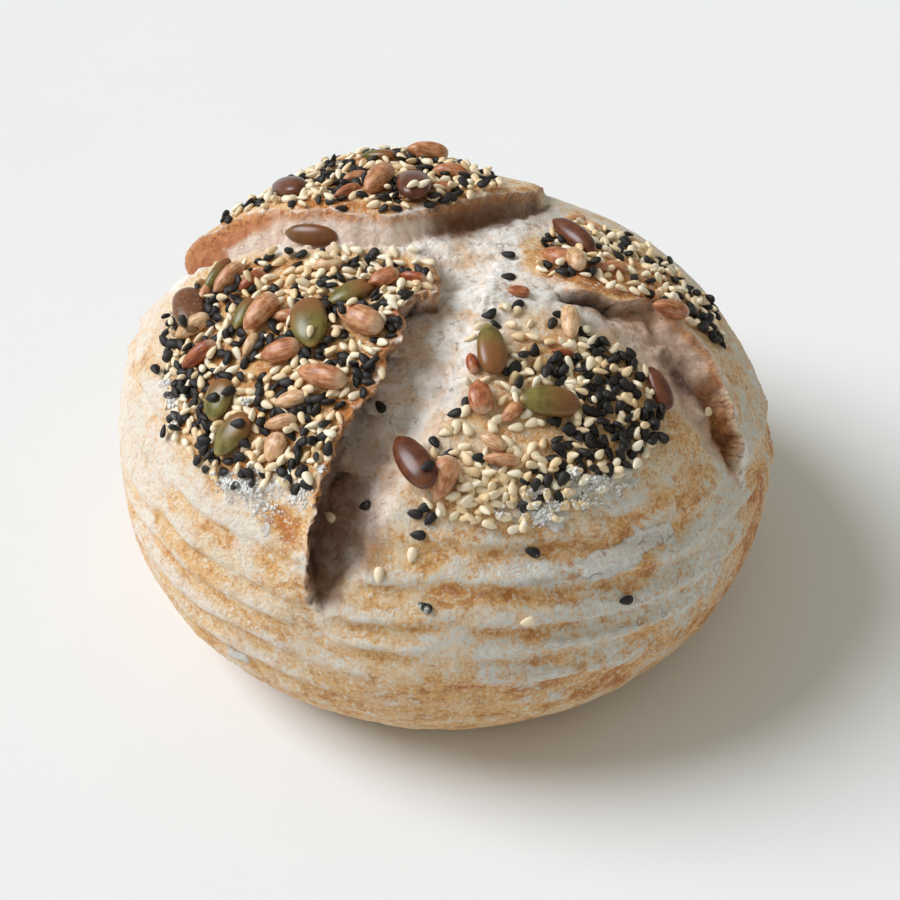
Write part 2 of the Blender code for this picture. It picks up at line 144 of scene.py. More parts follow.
# Strokes on the map where flour lies, cakes or heaps up, where shade with some browning is painted
# onto the bread (the shaded and pocket strokes), and where the crust baked darker: start, end, half
# width and strength
FLOUR_STROKES = [
    (15, -75, 33, -72, 3, 0.35), (4, -72.5, 17, -72, 2.4, 0.22), (34, -58, 47, -52, 1.8, 0.3),
    (52, -76, 72, -54, 8, 0.34), (75, -56, 76, -33, 6, 0.32), (36, -82, 71, -68, 6, 0.4),
    (12, -91, 44, -87, 4, 0.32), (14, -98, 38, -98, 3.6, 0.24), (24, -83, 45, -80, 2.4, 0.25),
    (-4, -88, 13, -87, 2.2, 0.2), (-54, -44, -46, -60, 5, 0.26), (-68, -32, -60, -46, 4, 0.18),
    (-73, -16, -70, -36, 5, 0.34), (72, -35, 76, -20, 4, 0.42), (1, -14, 7, -23, 5, 0.4),
    (78, -34, 79, -46, 4, 0.3), (25, -85.5, 52, -78.5, 2, 0.26), (30, -90, 56, -84, 1.8, 0.24),
    (-52, -49, -31, -54, 3, 0.3), (43, -91, 62, -82, 3, 0.24), (-90, -40, -64, -76, 3, 0.16),
    (-84, -24, -60, -58, 2.4, 0.12), (-33, -70, -28, -78, 3, 0.2), (36, 30, 62, 28, 8, 0.06),
    (-86, -6, -82, -42, 6, 0.34), (70, 8, 78, -12, 7, 0.1), (-20, 66, 20, 60, 9, 0.2),
    (-70, 20, -86, -6, 7, 0.34),
]
FLOUR_CAKES = [
    (46.5, -61.5, 54.5, -57.5, 2.3, 1), (35, -70.5, 44.5, -64.8, 2.9, 1), (18, -75.5, 26, -74, 1.6, 0.5),
    (-70, -85, -64, -88, 1.8, 0.7), (20, -60, 25, -62, 2.4, 0.7), (-44, -54, -41, -60, 2.4, 0.5),
    (28, -55, 35, -51, 2, 0.6),
]
FLOUR_HEAPS = [
    (-50, -50, -38, -53, 2.4, 0.9), (28, -56, 40, -49, 2.2, 0.85), (16, -62, 27, -60, 1.8, 0.7),
    (-62, -28, -65, -14, 1.8, 0.6),
]
# Painted shade, with some browning, in the crevices, in the lips' shadow and along the back lobe's wall
SHADED_STROKES = [
    (-20, -56, -18, -68, 4.4, 0.66), (-3, -16, -5, -30, 3.8, 0.22), (-5, 6, -2, 1, 2.6, 0.42),
    (-3, -28, 0, -35, 2.2, 0.3), (-13, -49, -15, -54, 3.4, 0.26), (28, -10, 40, -15, 2.6, 0.34),
    (-1, 14.6, 12, 22, 3, 0.8), (64, -17, 68, -24, 2.4, 0.5),
]
# Painted shade in the hollow beside the right cut's ridge
POCKET_SHADE_STROKES = [(55, -16.5, 62, -21.5, 2.2, 1), (50, -14.5, 56, -17.5, 2, 0.5)]
BROWN_STROKES = [
    (-38.5, -57, -36.5, -65, 3.6, 0.4), (-44, -66, -34, -74, 3, 0.22), (22, -67, 31, -72, 2.4, 0.34),
    (44, -64, 51, -67, 2.4, 0.4), (42, -104, 60, -97, 3.4, 0.5), (86, -28, 91, -50, 4, 0.36),
    (-1, -79, 27, -78, 2, 0.32), (27, -78, 48, -72, 1.8, 0.3), (-4, -86, 24, -87, 1.6, 0.22),
    (-36, -104, 27, -101, 4, 0.22), (-77, -51, -59, -69, 2.2, 0.2), (57, -51, 61, -45, 2.5, 0.4),
    (-6, -71, 5, -67, 3, 0.25), (90, -6, 95, -38, 4, 0.4), (96, -40, 86, -76, 3.6, 0.4),
    (25, -1, 47, 0.5, 4.6, 0.72), (36, -66, 52, -50, 2.2, 0.25), (78, -73, 50, -97, 2.5, 0.3),
    (-84, -70, -60, -92, 2.5, 0.15), (40, -20, 60, -38, 5, 0.2), (0, -60, 30, -66, 3, 0.25),
]


def smooth(low, high, value):
    """Go from 0 at low to 1 at high with level ends."""
    share = np.clip((value - low) / (high - low), 0, 1)
    return share * share * (3 - 2 * share)


def window(value, start, full, fade, end):
    """Go from 0 at start to 1 at full, and back from 1 at fade to 0 at end."""
    return smooth(start, full, value) * smooth(end, fade, value)


def bell(distance, width):
    """Fall from 1 at no distance towards 0 beyond a width."""
    return np.exp(-(distance / width) ** 2)


def line_distance(u, v, corners, closed=False):
    """Distance to a line on the map, and how far along the line its nearest point lies."""
    best = np.full(u.shape, 1e9)
    share = np.zeros(u.shape)
    ends = corners[1:] + corners[:1] if closed else corners[1:]
    lengths = [math.dist(start, end) for start, end in zip(corners, ends)]
    walked = 0
    for (start_u, start_v), (end_u, end_v), length in zip(corners, ends, lengths):
        step_u = end_u - start_u
        step_v = end_v - start_v
        along = np.clip(((u - start_u) * step_u + (v - start_v) * step_v) / length ** 2, 0, 1)
        distance = np.hypot(u - start_u - along * step_u, v - start_v - along * step_v)
        nearer = distance < best
        best = np.where(nearer, distance, best)
        share = np.where(nearer, (walked + along * length) / sum(lengths), share)
        walked += length
    return best, share


def depth_inside(u, v, corners):
    """Distance to a closed outline, positive inside it and negative outside."""
    inside = np.zeros(u.shape, bool)
    for (start_u, start_v), (end_u, end_v) in zip(corners, corners[1:] + corners[:1]):
        if start_v != end_v:
            crossing = start_u + (end_u - start_u) * (v - start_v) / (end_v - start_v)
            inside ^= ((start_v > v) != (end_v > v)) & (u < crossing)
    distance, _ = line_distance(u, v, corners, closed=True)
    return np.where(inside, distance, -distance)


def lattice_value(column, row, seed):
    """A fixed scrambled value from -1 to 1 for each corner of a square lattice."""
    mixed = (column * 374761393 + row * 668265263 + seed * 1274126177) & 0xFFFFFFFF
    mixed = ((mixed ^ (mixed >> 13)) * 1274126177) & 0xFFFFFFFF
    mixed = (mixed ^ (mixed >> 16)) & 0xFFFFFFFF
    return mixed.astype(np.float64) / 2147483647.5 - 1


def noise(u, v, size, seed):
    """Smooth noise on the map, from about -1 to 1, with blobs of a given size."""
    u = u / size + 1000
    v = v / size + 1000
    column = np.floor(u).astype(np.int64)
    row = np.floor(v).astype(np.int64)
    across = smooth(0, 1, u - column)
    along = smooth(0, 1, v - row)
    near = lattice_value(column, row, seed) * (1 - across) + lattice_value(column + 1, row, seed) * across
    far = lattice_value(column, row + 1, seed) * (1 - across)
    far = far + lattice_value(column + 1, row + 1, seed) * across
    return near * (1 - along) + far * along


def fractal(u, v, size, octaves, seed):
    """Noise with finer and fainter copies of itself added."""
    total = 0
    strength = 1
    for octave in range(octaves):
        turned_u = u * math.cos(octave) - v * math.sin(octave)
        turned_v = u * math.sin(octave) + v * math.cos(octave)
        total = total + strength * noise(turned_u, turned_v, size * 0.5 ** octave, seed + 17 * octave)
        strength *= 0.55
    return total / 1.7


def dome_profile():
    """The crust's half section from the top to the middle of the base, and its length."""
    lean = np.linspace(0, math.pi, PROFILE_STEPS)
    rise = np.where(lean < math.pi / 2, DOME_HEIGHT, BELLY_DEPTH)
    radius = LOAF_RADIUS * np.sin(lean)
    height = WIDEST_HEIGHT + rise * np.cos(lean)
    steps = np.hypot(np.diff(radius), np.diff(height))
    return lean, radius, height, np.concatenate([[0], np.cumsum(steps)])


LEAN, RADIUS, HEIGHT, ALONG = dome_profile()


# Outlines of the lobes; in later names a, b and c stand for the front left, back and right one
LOBES = {
    "front_left": FRONT_LEFT_LIP + FRONT_LEFT_BACK + FRONT_LEFT_OUTSIDE,
    "back": BACK_LIP + BACK_OUTSIDE,
    "right": RIGHT_LIP + RIGHT_OUTSIDE,
}

# How far each lobe's torn edge strays from its outline, coarsely and finely
RAGGED = {"front_left": (0.9, 0.95), "back": (0.9, 0.25), "right": (0.85, 0.22)}


def lobe_depth(lobe, u, v):
    """Depth inside a lobe, with the ragged edge of torn dough."""
    coarse, fine = RAGGED[lobe]
    ragged = coarse * noise(u, v, 5.5, 3) + fine * (2.2 * np.abs(noise(u, v, 2.3, 4)) - 0.7)
    return depth_inside(u, v, LOBES[lobe]) + ragged


def ring_waves(u, v, x, y, z):
    """The rings that the proving basket pressed in: 1 in a groove, and 0 to 1 on the ridge above it."""
    level = z + 0.08 * x + 0.15 * y + 1.3 * noise(u, v, 26, 31) + 0.6 * noise(u, v, 9, 32)
    above = np.full(u.shape, 99.0)
    for height in RING_HEIGHTS:
        above = np.where(np.abs(level - height) < np.abs(above), level - height, above)
    strength = np.clip(0.7 + 0.75 * noise(u, v, 17, 33) + 0.35 * noise(u, v, 6, 34), 0, 1)
    shown = smooth(62, 50, level) * strength
    groove = np.where(above > 0, bell(above, 0.9), bell(above, 2.6))
    return groove * shown, bell(above - 2.2, 1.5) * shown


def stroke_cover(u, v, strokes, wobble):
    """How strongly a set of strokes covers each map point, with frayed edges."""
    cover = np.zeros(u.shape)
    for start_u, start_v, end_u, end_v, half_width, strength in strokes:
        distance, _ = line_distance(u, v, [(start_u, start_v), (end_u, end_v)])
        edge = distance + wobble * half_width
        cover = np.maximum(cover, strength * smooth(1.7 * half_width, 0.3 * half_width, edge))
    return cover


def heaps(u, v):
    """Loose flour among the seeds, 0 to 1."""
    return stroke_cover(u, v, FLOUR_HEAPS, 1.3 * fractal(u, v, 2.6, 3, 66))


def map_facts(u, v):
    """How map points lie to the lobes, to their lips and to the top."""
    at = SimpleNamespace(reach=np.hypot(u, v))
    at.in_a, at.in_b, at.in_c = (lobe_depth(lobe, u, v) for lobe in LOBES)
    at.out_a, at.out_b, at.out_c = (
        np.maximum(-inside, 0) for inside in (at.in_a, at.in_b, at.in_c)
    )
    to_lip_a, at.along_a = line_distance(u, v, FRONT_LEFT_LIP)
    to_back_a, at.along_back_a = line_distance(u, v, FRONT_LEFT_BACK)
    _, at.along_b = line_distance(u, v, BACK_LIP)
    to_lip_c, at.along_c = line_distance(u, v, RIGHT_LIP)
    at.to_tip = 1 - at.along_a
    at.on_lip = smooth(-3, 3, to_back_a - to_lip_a)
    at.in_front = smooth(-6, 3, -(v + 0.1 * u)) * (u < 30)
    at.left_b = smooth(0.62, 0.28, at.along_b)
    at.torn_c = window(at.along_c, 0, 0.12, 0.88, 1) * smooth(-7, 7, 6 - (v - 0.05 * u))
    at.torn_c = at.torn_c * (to_lip_c < 25)
    at.south = smooth(-6, 2, -(v - 0.05 * u)) * smooth(14, 24, u)
    return at


def front_left_lobe(u, v, at):
    """Height of the front left lobe, and how far the wall below its edge reaches out."""
    deep = np.maximum(at.in_a, 0)
    raised = 2.7 * smooth(0, 0.25, at.along_a) + 1.2 * bell(at.to_tip - 0.74, 0.14)
    raised = raised - 1.5 * smooth(0.2, 0.02, at.to_tip)
    lift = raised * at.on_lip + 1.2 * (1 - at.on_lip)
    shown = smooth(0, 14, deep + 14 * smooth(0.01, 0.16, at.along_a))
    top = 1.2 * shown + 3.2 * smooth(15, 62, -u) * smooth(-38, 8, v) * smooth(104, 72, at.reach)
    top = (top + lift * np.exp(-deep / 6)) * smooth(108, 86, at.reach)
    back_wall = 3.5 + 2.5 * smooth(0.2, 0.6, at.along_back_a)
    return top, LEFT_WALL * at.on_lip + (1 - at.on_lip) * back_wall


def front_trench(at):
    """Depth of the open cut along the front left lobe."""
    width = 17 - 3.5 * smooth(0.3, 0.8, at.to_tip) - 7 * smooth(0.75, 1, at.to_tip)
    depth = (3.6 + 6.2 * smooth(0.12, 0.6, at.to_tip)) * smooth(0, 0.12, at.along_a)
    rise = np.clip(1 - np.maximum(at.out_a - 0.4 * LEFT_WALL, 0) / width, 0, 1)
    return -depth * smooth(0, 1, rise) ** 0.8 * at.in_front


def right_cut(u, v, at):
    """Depth of the cut along the right lobe, with a slit and a slot in it and a ridge beside it."""
    along_c = at.along_c
    width = 5 + 9.5 * smooth(0.3, 0.55, along_c) - 9 * smooth(0.75, 1, along_c)
    depth = (3 + 2.2 * smooth(0.3, 0.6, along_c)) * window(along_c, 0, 0.1, 0.86, 1)
    cut = -depth * np.clip(1 - at.out_c / width, 0, 1) ** 0.8
    slit = bell(at.out_c, 1.8) * window(along_c, 0.55, 0.68, 0.9, 1)
    slot = bell(at.out_c, 1.9) * window(along_c, 0.03, 0.1, 0.18, 0.28)
    cut = (cut - 3 * slit - 2.4 * slot) * at.south * smooth(8, 2, at.in_c)
    to_ridge, along_ridge = line_distance(u, v, RIGHT_RIDGE)
    ridge = 2.4 * bell(to_ridge + 0.5 * noise(u, v, 4, 35), 1.6)
    return cut + ridge * smooth(0, 0.2, along_ridge) * (along_ridge < 1)


def cut_floor(u, v, at):
    """Height of the torn dough between the lobes."""
    across = (u - 10) * 0.85 - (v - 10) * 0.53
    along = (u - 10) * 0.53 + (v - 10) * 0.85
    plateau = -2.4 * bell(across, 15) * bell(along, 37)
    gully = -7.5 * smooth(4, 22, -u) * smooth(-4, 4, v + 0.16 * u + 3) * smooth(106, 80, at.reach)
    knob = 3.2 * bell(np.hypot(u - 7, v + 9), 6.5)
    return plateau + np.minimum(front_trench(at), gully) + right_cut(u, v, at) + knob


def right_lobe(at):
    """Height of the right lobe, and how far the wall below its lip reaches out."""
    deep = np.maximum(at.in_c, 0)
    top = 1.4 + 1.5 * at.torn_c * np.exp(-deep / 5)
    top = top * smooth(0, 14, deep + 14 * at.torn_c)
    return top, RIGHT_WALL + 7.2 * window(at.along_c, 0.33, 0.45, 0.62, 0.72)


def back_lobe(u, v, at):
    """Height of the back lobe at its lip and further in, and how far the wall below reaches out."""
    fade = smooth(116, 88, at.reach)
    top = 5.4 + 3 * at.left_b - 1.3 * smooth(2.6, 0, np.abs(at.in_b))
    top = top * (window(at.along_b, 0.2, 0.27, 0.6, 0.92) * fade)
    swell = 8 * bell(u + 22, 34) * bell(v - 50, 30) * fade
    near = np.exp(-np.maximum(at.in_b, 0) / 16)
    wall = 5 + 8 * at.left_b * (0.4 + 0.6 * smooth(0.22, 0.34, at.along_b))
    return top, top * near + (1 - near) * swell, wall


def crumb_share(u, v, at):
    """1 on torn crumb and 0 on crust, with a ragged border."""
    ragged = 1.6 * noise(u, v, 7, 41) + 0.9 * noise(u, v, 2.6, 42) + 0.5 * noise(u, v, 1.3, 43)
    to_front, _ = line_distance(u, v, RIGHT_CUT_BORDER + FRONT_CUT_BORDER)
    blend = 1.2 + 3.2 * smooth(9, 4, to_front)
    closing = smooth(74, 92, at.reach + 4 * noise(u, v, 6, 44))
    closing = closing * smooth(-40, -50, u) * smooth(-20, -10, v)
    at_tip = smooth(0.16, 0.05, at.to_tip) * smooth(-0.2, 0.4, at.out_a)
    on_back = smooth(-0.2, 0.6, at.in_b) * smooth(0.9, 0.72, at.along_b)
    on_right = smooth(-0.2, 0.6, at.in_c) * window(at.along_c, 0.04, 0.1, 0.4, 0.56)
    shifts = 2.5 * at_tip - 2 * on_back - 3.5 * on_right - 30 * closing
    return smooth(-blend, blend, depth_inside(u, v, CRUMB) + ragged + shifts)


def texture(u, v, at):
    """Fine relief of crumb and crust, with the basket's rings and the lumps of flour."""
    fibres = 0.5 - np.abs(fractal(u, v, 3, 3, 52))
    lumps = fractal(u, v, 8, 2, 51) + 0.7 * fractal(u, v, 3, 3, 55) + 0.5 * fibres
    bread = 0.45 * fractal(u, v, 18, 2, 53) + 0.14 * fractal(u, v, 2.4, 2, 54)
    rings = (0.6 * at.ridge - 1.05 * at.groove) * window(at.reach, 20, 60, 114, 130)
    rings = rings * (1 - 0.7 * smooth(34, 60, u) * smooth(88, 104, at.reach))
    caked = smooth(0.25, 0.75, at.crusted) * (0.38 + 0.3 * fractal(u, v, 2.2, 2, 64))
    heaped = 1.3 * heaps(u, v) * np.clip(0.5 + 0.8 * fractal(u, v, 1.9, 2, 65), 0, 1)
    return lumps * at.crumb, bread, (rings + np.maximum(caked, heaped)) * (1 - at.crumb)


def relief(u, v, x, y, z):
    """How far the crust and crumb stand off the smooth dome, and the measures behind that."""
    at = map_facts(u, v)
    at.crumb = crumb_share(u, v, at)
    at.groove, at.ridge = ring_waves(u, v, x, y, z)
    at.crusted = stroke_cover(u, v, FLOUR_CAKES, 0.45 * fractal(u, v, 4, 3, 61))
    top_a, wall_a = front_left_lobe(u, v, at)
    top_b, inner_b, wall_b = back_lobe(u, v, at)
    top_c, wall_c = right_lobe(at)

    # Lobes over the floor, with the walls that fall from their lips
    at.fall_a = smooth(0, 1, at.out_a / wall_a)
    walled = np.maximum(cut_floor(u, v, at), top_a - (top_a + 13) * at.fall_a)
    height = np.where(at.in_a > 0, top_a, walled)
    at.fall_c = smooth(0, 1, at.out_c / wall_c)
    fallen_c = np.where(at.torn_c > 0.01, top_c - 9 * at.fall_c, -30)
    over_c = np.maximum(height, top_c * smooth(0, 0.05, at.torn_c))
    over_c = np.where(at.torn_c > 0.01, over_c, height)
    height = np.where(at.in_c > 0, over_c, np.maximum(height, fallen_c))
    at.fall_b = np.clip(at.out_b / wall_b, 0, 1)
    slump = at.fall_b + 0.28 * at.fall_b * (1 - at.fall_b) * (0.6 + at.left_b)
    height = np.where(at.in_b > 0, inner_b, np.maximum(height, top_b - (top_b + 12) * slump))
    # How deep the bread lies below the dome, used to paint shade into the crumb's hollows
    at.low = np.clip(-height / 8, 0, 1)
    lumps, bread, rings = texture(u, v, at)
    return height + lumps + bread + rings, at


def settle(height):
    """Round the crust's foot into a flat base."""
    share = np.clip((height + BASE_ROUNDING) / (2 * BASE_ROUNDING), 0, 1)
    return np.where(height > BASE_ROUNDING, height, BASE_ROUNDING * share ** 2)


# Columns of the mesh, and the directions in degrees where they stand closer: how widely and how much
COLUMNS = 576
CLOSER_COLUMNS = [(-90, 75, 0.55), (-20, 16, 0.5), (155, 18, 0.3)]
TURN_STEPS = 3601


def column_turns(count):
    """Turns of the mesh's columns about Z."""
    fine = np.linspace(-180, 180, TURN_STEPS)
    density = np.ones(fine.shape)
    for direction, spread, extra in CLOSER_COLUMNS:
        density += extra * bell((fine - direction + 180) % 360 - 180, spread)
    filled = np.concatenate([[0], np.cumsum(0.5 * (density[1:] + density[:-1]))])
    wanted = np.linspace(0, filled[-1], count, endpoint=False)
    return np.radians(np.interp(wanted, filled, fine))


# Bands of rows: distance from the top where a band ends, its step, and every how many columns
# its rows have a corner
ROW_PLAN = [(8, 0.55, 4), (22, 0.5, 2), (100, 0.68, 1), (130, 1, 1), (139, 1.5, 2), (190, 6, 8)]


def mesh_rows():
    """Distance of each row from the top, and every how many columns the row has a corner."""
    rows = []
    start = 0
    for end, step, skip in ROW_PLAN:
        count = max(1, round((end - start) / step))
        rows += [(start + (end - start) * (index + 1) / count, skip) for index in range(count)]
        start = end
    return rows


def join_rows(first, first_count, second, second_count):
    """Faces between two rings of corners whose counts are equal or differ by a whole factor."""
    faces = []
    if first_count == second_count:
        for side in range(first_count):
            after = (side + 1) % first_count
            faces.append((first + side, second + side, second + after, first + after))
        return faces
    outward = second_count > first_count
    coarse, fine = (first, second) if outward else (second, first)
    coarse_count = min(first_count, second_count)
    factor = max(first_count, second_count) // coarse_count
    for side in range(coarse_count):
        after = (side + 1) % coarse_count
        fan = [fine + (side * factor + step) % (coarse_count * factor) for step in range(factor + 1)]
        half = factor // 2
        triangles = [(coarse + side, fan[step], fan[step + 1]) for step in range(half)]
        triangles.append((coarse + side, fan[half], coarse + after))
        triangles += [(coarse + after, fan[step], fan[step + 1]) for step in range(half, factor)]
        for triangle in triangles:
            faces.append(triangle if outward else triangle[::-1])
    return faces


# Offsets on the map, in millimetres, over which a slope is taken: along an edge and along an outline
EDGE_STEP = 0.05
OUTLINE_STEP = 0.3


def slide_to_lips(u, v, cell):
    """Slide the corners that are close to a torn edge onto it, so that the edge stays clean."""
    for lobe in LOBES:
        inside = lobe_depth(lobe, u, v)
        slope_u = (lobe_depth(lobe, u + EDGE_STEP, v) - inside) / EDGE_STEP
        slope_v = (lobe_depth(lobe, u, v + EDGE_STEP) - inside) / EDGE_STEP
        steepness = np.maximum(slope_u ** 2 + slope_v ** 2, 0.25)
        near = (np.abs(inside) < 0.4 * cell) & (np.hypot(u, v) < 100)
        slide = np.where(near, 0.01 - inside, 0) / steepness
        slide = np.clip(slide, -0.45 * cell, 0.45 * cell)
        u = u + slide * slope_u
        v = v + slide * slope_v
    return u, v


def outline_slope(u, v, lobe):
    """Direction on the map that leads straight into a lobe."""
    outline = LOBES[lobe]
    slope_u = depth_inside(u + OUTLINE_STEP, v, outline) - depth_inside(u - OUTLINE_STEP, v, outline)
    slope_v = depth_inside(u, v + OUTLINE_STEP, outline) - depth_inside(u, v - OUTLINE_STEP, outline)
    return slope_u / (2 * OUTLINE_STEP), slope_v / (2 * OUTLINE_STEP)


def dome_at(u, v):
    """Over map points, the smooth dome's turn, radius and height, and how it faces out and up."""
    reach = np.hypot(u, v)
    lean = np.interp(reach, ALONG, LEAN)
    outward = np.sin(lean) / LOAF_RADIUS
    upward = np.cos(lean) / np.where(lean < math.pi / 2, DOME_HEIGHT, BELLY_DEPTH)
    size = np.hypot(outward, upward)
    radius, height = np.interp(reach, ALONG, RADIUS), np.interp(reach, ALONG, HEIGHT)
    return np.arctan2(v, u), radius, height, outward / size, upward / size


def crust_points(u, v):
    """Places of the crust over map points in millimetres, and the measures there."""
    turn, radius, height, outward, upward = dome_at(u, v)
    offset, at = relief(u, v, radius * np.cos(turn), radius * np.sin(turn), height)
    offset = offset * smooth(150, 138, at.reach)
    radius = radius + offset * outward
    height = settle(height + offset * upward)
    x = radius * np.cos(turn)
    y = radius * np.sin(turn)

    # Torn lips lean over their crevices, so the foot of the wall moves in under them
    share_a = smooth(0.02, 0.14, at.along_a) * (1 - 0.6 * smooth(0.75, 1, at.along_a))
    share_c = 1 - window(at.along_c, 0.3, 0.42, 0.65, 0.75)
    frayed = fractal(u, v, 1.8, 2, 81)
    for lobe, out, wall, pull, share in (
        ("front_left", at.out_a, LEFT_WALL, 6, at.in_front * at.on_lip * share_a),
        ("right", at.out_c, RIGHT_WALL, 2.6, at.torn_c * at.south * share_c),
    ):
        slope_u, slope_v = outline_slope(u, v, lobe)
        amount = pull * window(out, 0.2, 0.6 * wall, wall, wall + 6.5)
        amount = share * (amount + 0.9 * frayed * window(out, 0, 0.6, wall, wall + 2))
        x = x + amount * slope_u
        y = y + amount * slope_v
    return x, y, height, at


def flour_and_browning(u, v, at, frays):
    """Shares of flour on the crust and of browning."""
    banding = 1 - 0.6 * smooth(34, 56, u) * smooth(84, 98, at.reach)
    flour = 0.3 + banding * (0.2 * at.ridge - 0.24 * at.groove)
    flour = flour + 0.2 * fractal(u, 1.6 * v, 12, 3, 67)
    browned = stroke_cover(u, v, BROWN_STROKES, frays)
    flour = flour + stroke_cover(u, v, FLOUR_STROKES, frays) - 0.6 * browned + 0.75 * heaps(u, v)
    flour = flour - 0.22 * smooth(104, 122, at.reach) + 0.1 * smooth(0, 40, v)
    brown = 0.28 + 0.12 * smooth(84, 112, at.reach) + 0.12 * at.groove + browned
    for patch, outline in SEEDED.items():
        seeded = smooth(-3, 5, depth_inside(u, v, outline))
        baked = 0.7 + 0.3 * fractal(u, v, 7, 3, 74)
        if patch == "front":
            baked = 0.15 + 0.32 * smooth(8, 26, u)
        brown = np.maximum(brown, baked * seeded)
        flour = flour - (0.2 if patch == "front" else 0.4) * seeded
    near_lip = smooth(4.5, 0.5, at.in_a) * at.on_lip * smooth(0.12, 0.3, at.along_a)
    near_lip = near_lip * (at.in_a > -1) * at.in_front
    near_back = smooth(5, 1, at.in_b) * (at.in_b > -1)
    near_back = near_back * window(at.along_b, 0.2, 0.27, 0.66, 0.86)
    near_lip = np.maximum(near_lip, near_back)
    return flour - 0.3 * near_lip, brown + 0.35 * near_lip


def torn_edges(at):
    """Share of toasted fringe along the torn lips."""
    fringe_depth = 0.5 - 0.36 * smooth(0.24, 0.08, at.to_tip)
    fringe_a = smooth(1.1, 0, at.in_a) * smooth(0, -0.7, at.fall_a / fringe_depth - 1)
    fringe_a = fringe_a * at.on_lip * at.in_front * smooth(0.02, 0.15, at.along_a)
    fringe_b = smooth(0.4, -0.1, at.in_b) * smooth(0.16, 0.02, at.fall_b)
    fringe_b = fringe_b * window(at.along_b, 0.18, 0.26, 0.8, 0.95)
    fringe_c = 0.8 * smooth(0.5, -0.1, at.in_c) * smooth(0.18, 0.05, at.fall_c) * at.torn_c
    slit_wall = window(at.in_c, -5, -2.5, -0.2, 0.4) * window(at.along_c, 0.6, 0.7, 0.92, 1)
    return np.clip(fringe_a + fringe_b + (fringe_c + 0.65 * slit_wall) * at.south, 0, 1)


def shade_and_browning_feet(u, v, at, frays):
    """Share of painted deep shade, with some browning, where the cuts run in under the lips."""
    # Painted shade in the right cut's dark slot, slit and hollow
    slot = bell(at.out_c - 1.1, 1.2) * window(at.along_c, 0.03, 0.1, 0.19, 0.28)
    slit = smooth(4.2, 2.4, at.out_c) * window(at.along_c, 0.72, 0.8, 0.92, 0.99)
    pocket_shade = stroke_cover(u, v, POCKET_SHADE_STROKES, frays)
    shade_under_c = np.clip(slot + slit + pocket_shade, 0, 1) * at.south * smooth(0.2, -0.4, at.in_c)
    # Painted shade in the crevice under the front left lip
    wide = LEFT_WALL - 0.5 + 5.5 * smooth(0.5, 0.75, at.to_tip) + 1.5 * fractal(u, v, 6, 3, 70)
    shade_under_a = smooth(0.3, 1.2, at.out_a) * smooth(wide + 1.5, wide - 1, at.out_a)
    shade_under_a = shade_under_a * at.in_front * smooth(-0.03, 0.05, at.to_tip) * smooth(0, 0.05, at.along_a)
    return np.maximum(np.maximum(shade_under_c, 0.85 * shade_under_a), stroke_cover(u, v, SHADED_STROKES, frays))


# Masks of the bread by the colour attribute that holds them; low is the crumb's depth, which paints shade
# into its hollows
BREAD_MASKS = {
    "bread_a": ("crumb", "flour", "brown", "white_edge"),
    "bread_b": ("torn", "cakes", "low", "split"),
    "bread_c": ("wall_b", "wall_kind", "cut_c", "dark_foot"),
}


def colour_masks(u, v, at):
    """The bread's masks, in the order of BREAD_MASKS."""
    frays = 0.45 * fractal(u, v, 5, 3, 62)
    flour, brown = flour_and_browning(u, v, at, frays)
    wall_b = smooth(0.8, 0.55, at.fall_b - 0.4 * smooth(-50, -57, u))
    wall_b = wall_b * smooth(0.3, -0.3, at.in_b) * (at.fall_b < 1)
    rim_b = at.left_b * smooth(0.34, 0.1, at.fall_b + 0.1 * fractal(u, v, 5, 2, 68))
    rim_b = np.maximum(rim_b, smooth(-50, -60, u + 9 * fractal(u, v, 7, 3, 69)))
    # 0 paints shade on the right part of the back lobe's wall, 0.7 keeps it pink crumb, and 1 toasts its left
    # rim
    wall_kind = np.maximum(0.7 * smooth(8, -16, u), rim_b * smooth(96, 84, at.reach))
    cut_c = smooth(0, 1, -at.in_c) * at.south * at.crumb * smooth(0.12, 0.3, at.along_c)
    split = smooth(14, 34, u) * smooth(0.45, 0.65, flour) * smooth(-30, -44, v)
    # Pale edge of the right lobe's lower lip: partly flour, partly a painted highlight of its lit rim
    white_edge = smooth(1, 0, np.abs(at.in_c - 0.2)) * window(at.along_c, 0.62, 0.72, 0.95, 1)
    cakes = np.maximum(at.crusted, 0.55 * heaps(u, v))
    return {
        "bread_a": (at.crumb, np.clip(flour, 0, 1), np.clip(brown, 0, 1), white_edge * at.south),
        "bread_b": (torn_edges(at), cakes, at.low, split),
        "bread_c": (wall_b, wall_kind, cut_c, shade_and_browning_feet(u, v, at, frays)),
    }


def put_colours(mesh, name, channels):
    """Store up to four masks on a mesh's corners as one colour attribute."""
    packed = np.ones((len(mesh.vertices), 4), np.float32)
    for index, channel in enumerate(channels):
        packed[:, index] = channel
    layer = mesh.attributes.new(name, "FLOAT_COLOR", "POINT")
    layer.data.foreach_set("color", packed.ravel())


def add_piece(name, mesh, material):
    """Put a mesh into the scene as an object with one material."""
    mesh.materials.append(material)
    mesh.shade_smooth()
    piece = bpy.data.objects.new(name, mesh)
    bpy.context.scene.collection.objects.link(piece)
    return piece


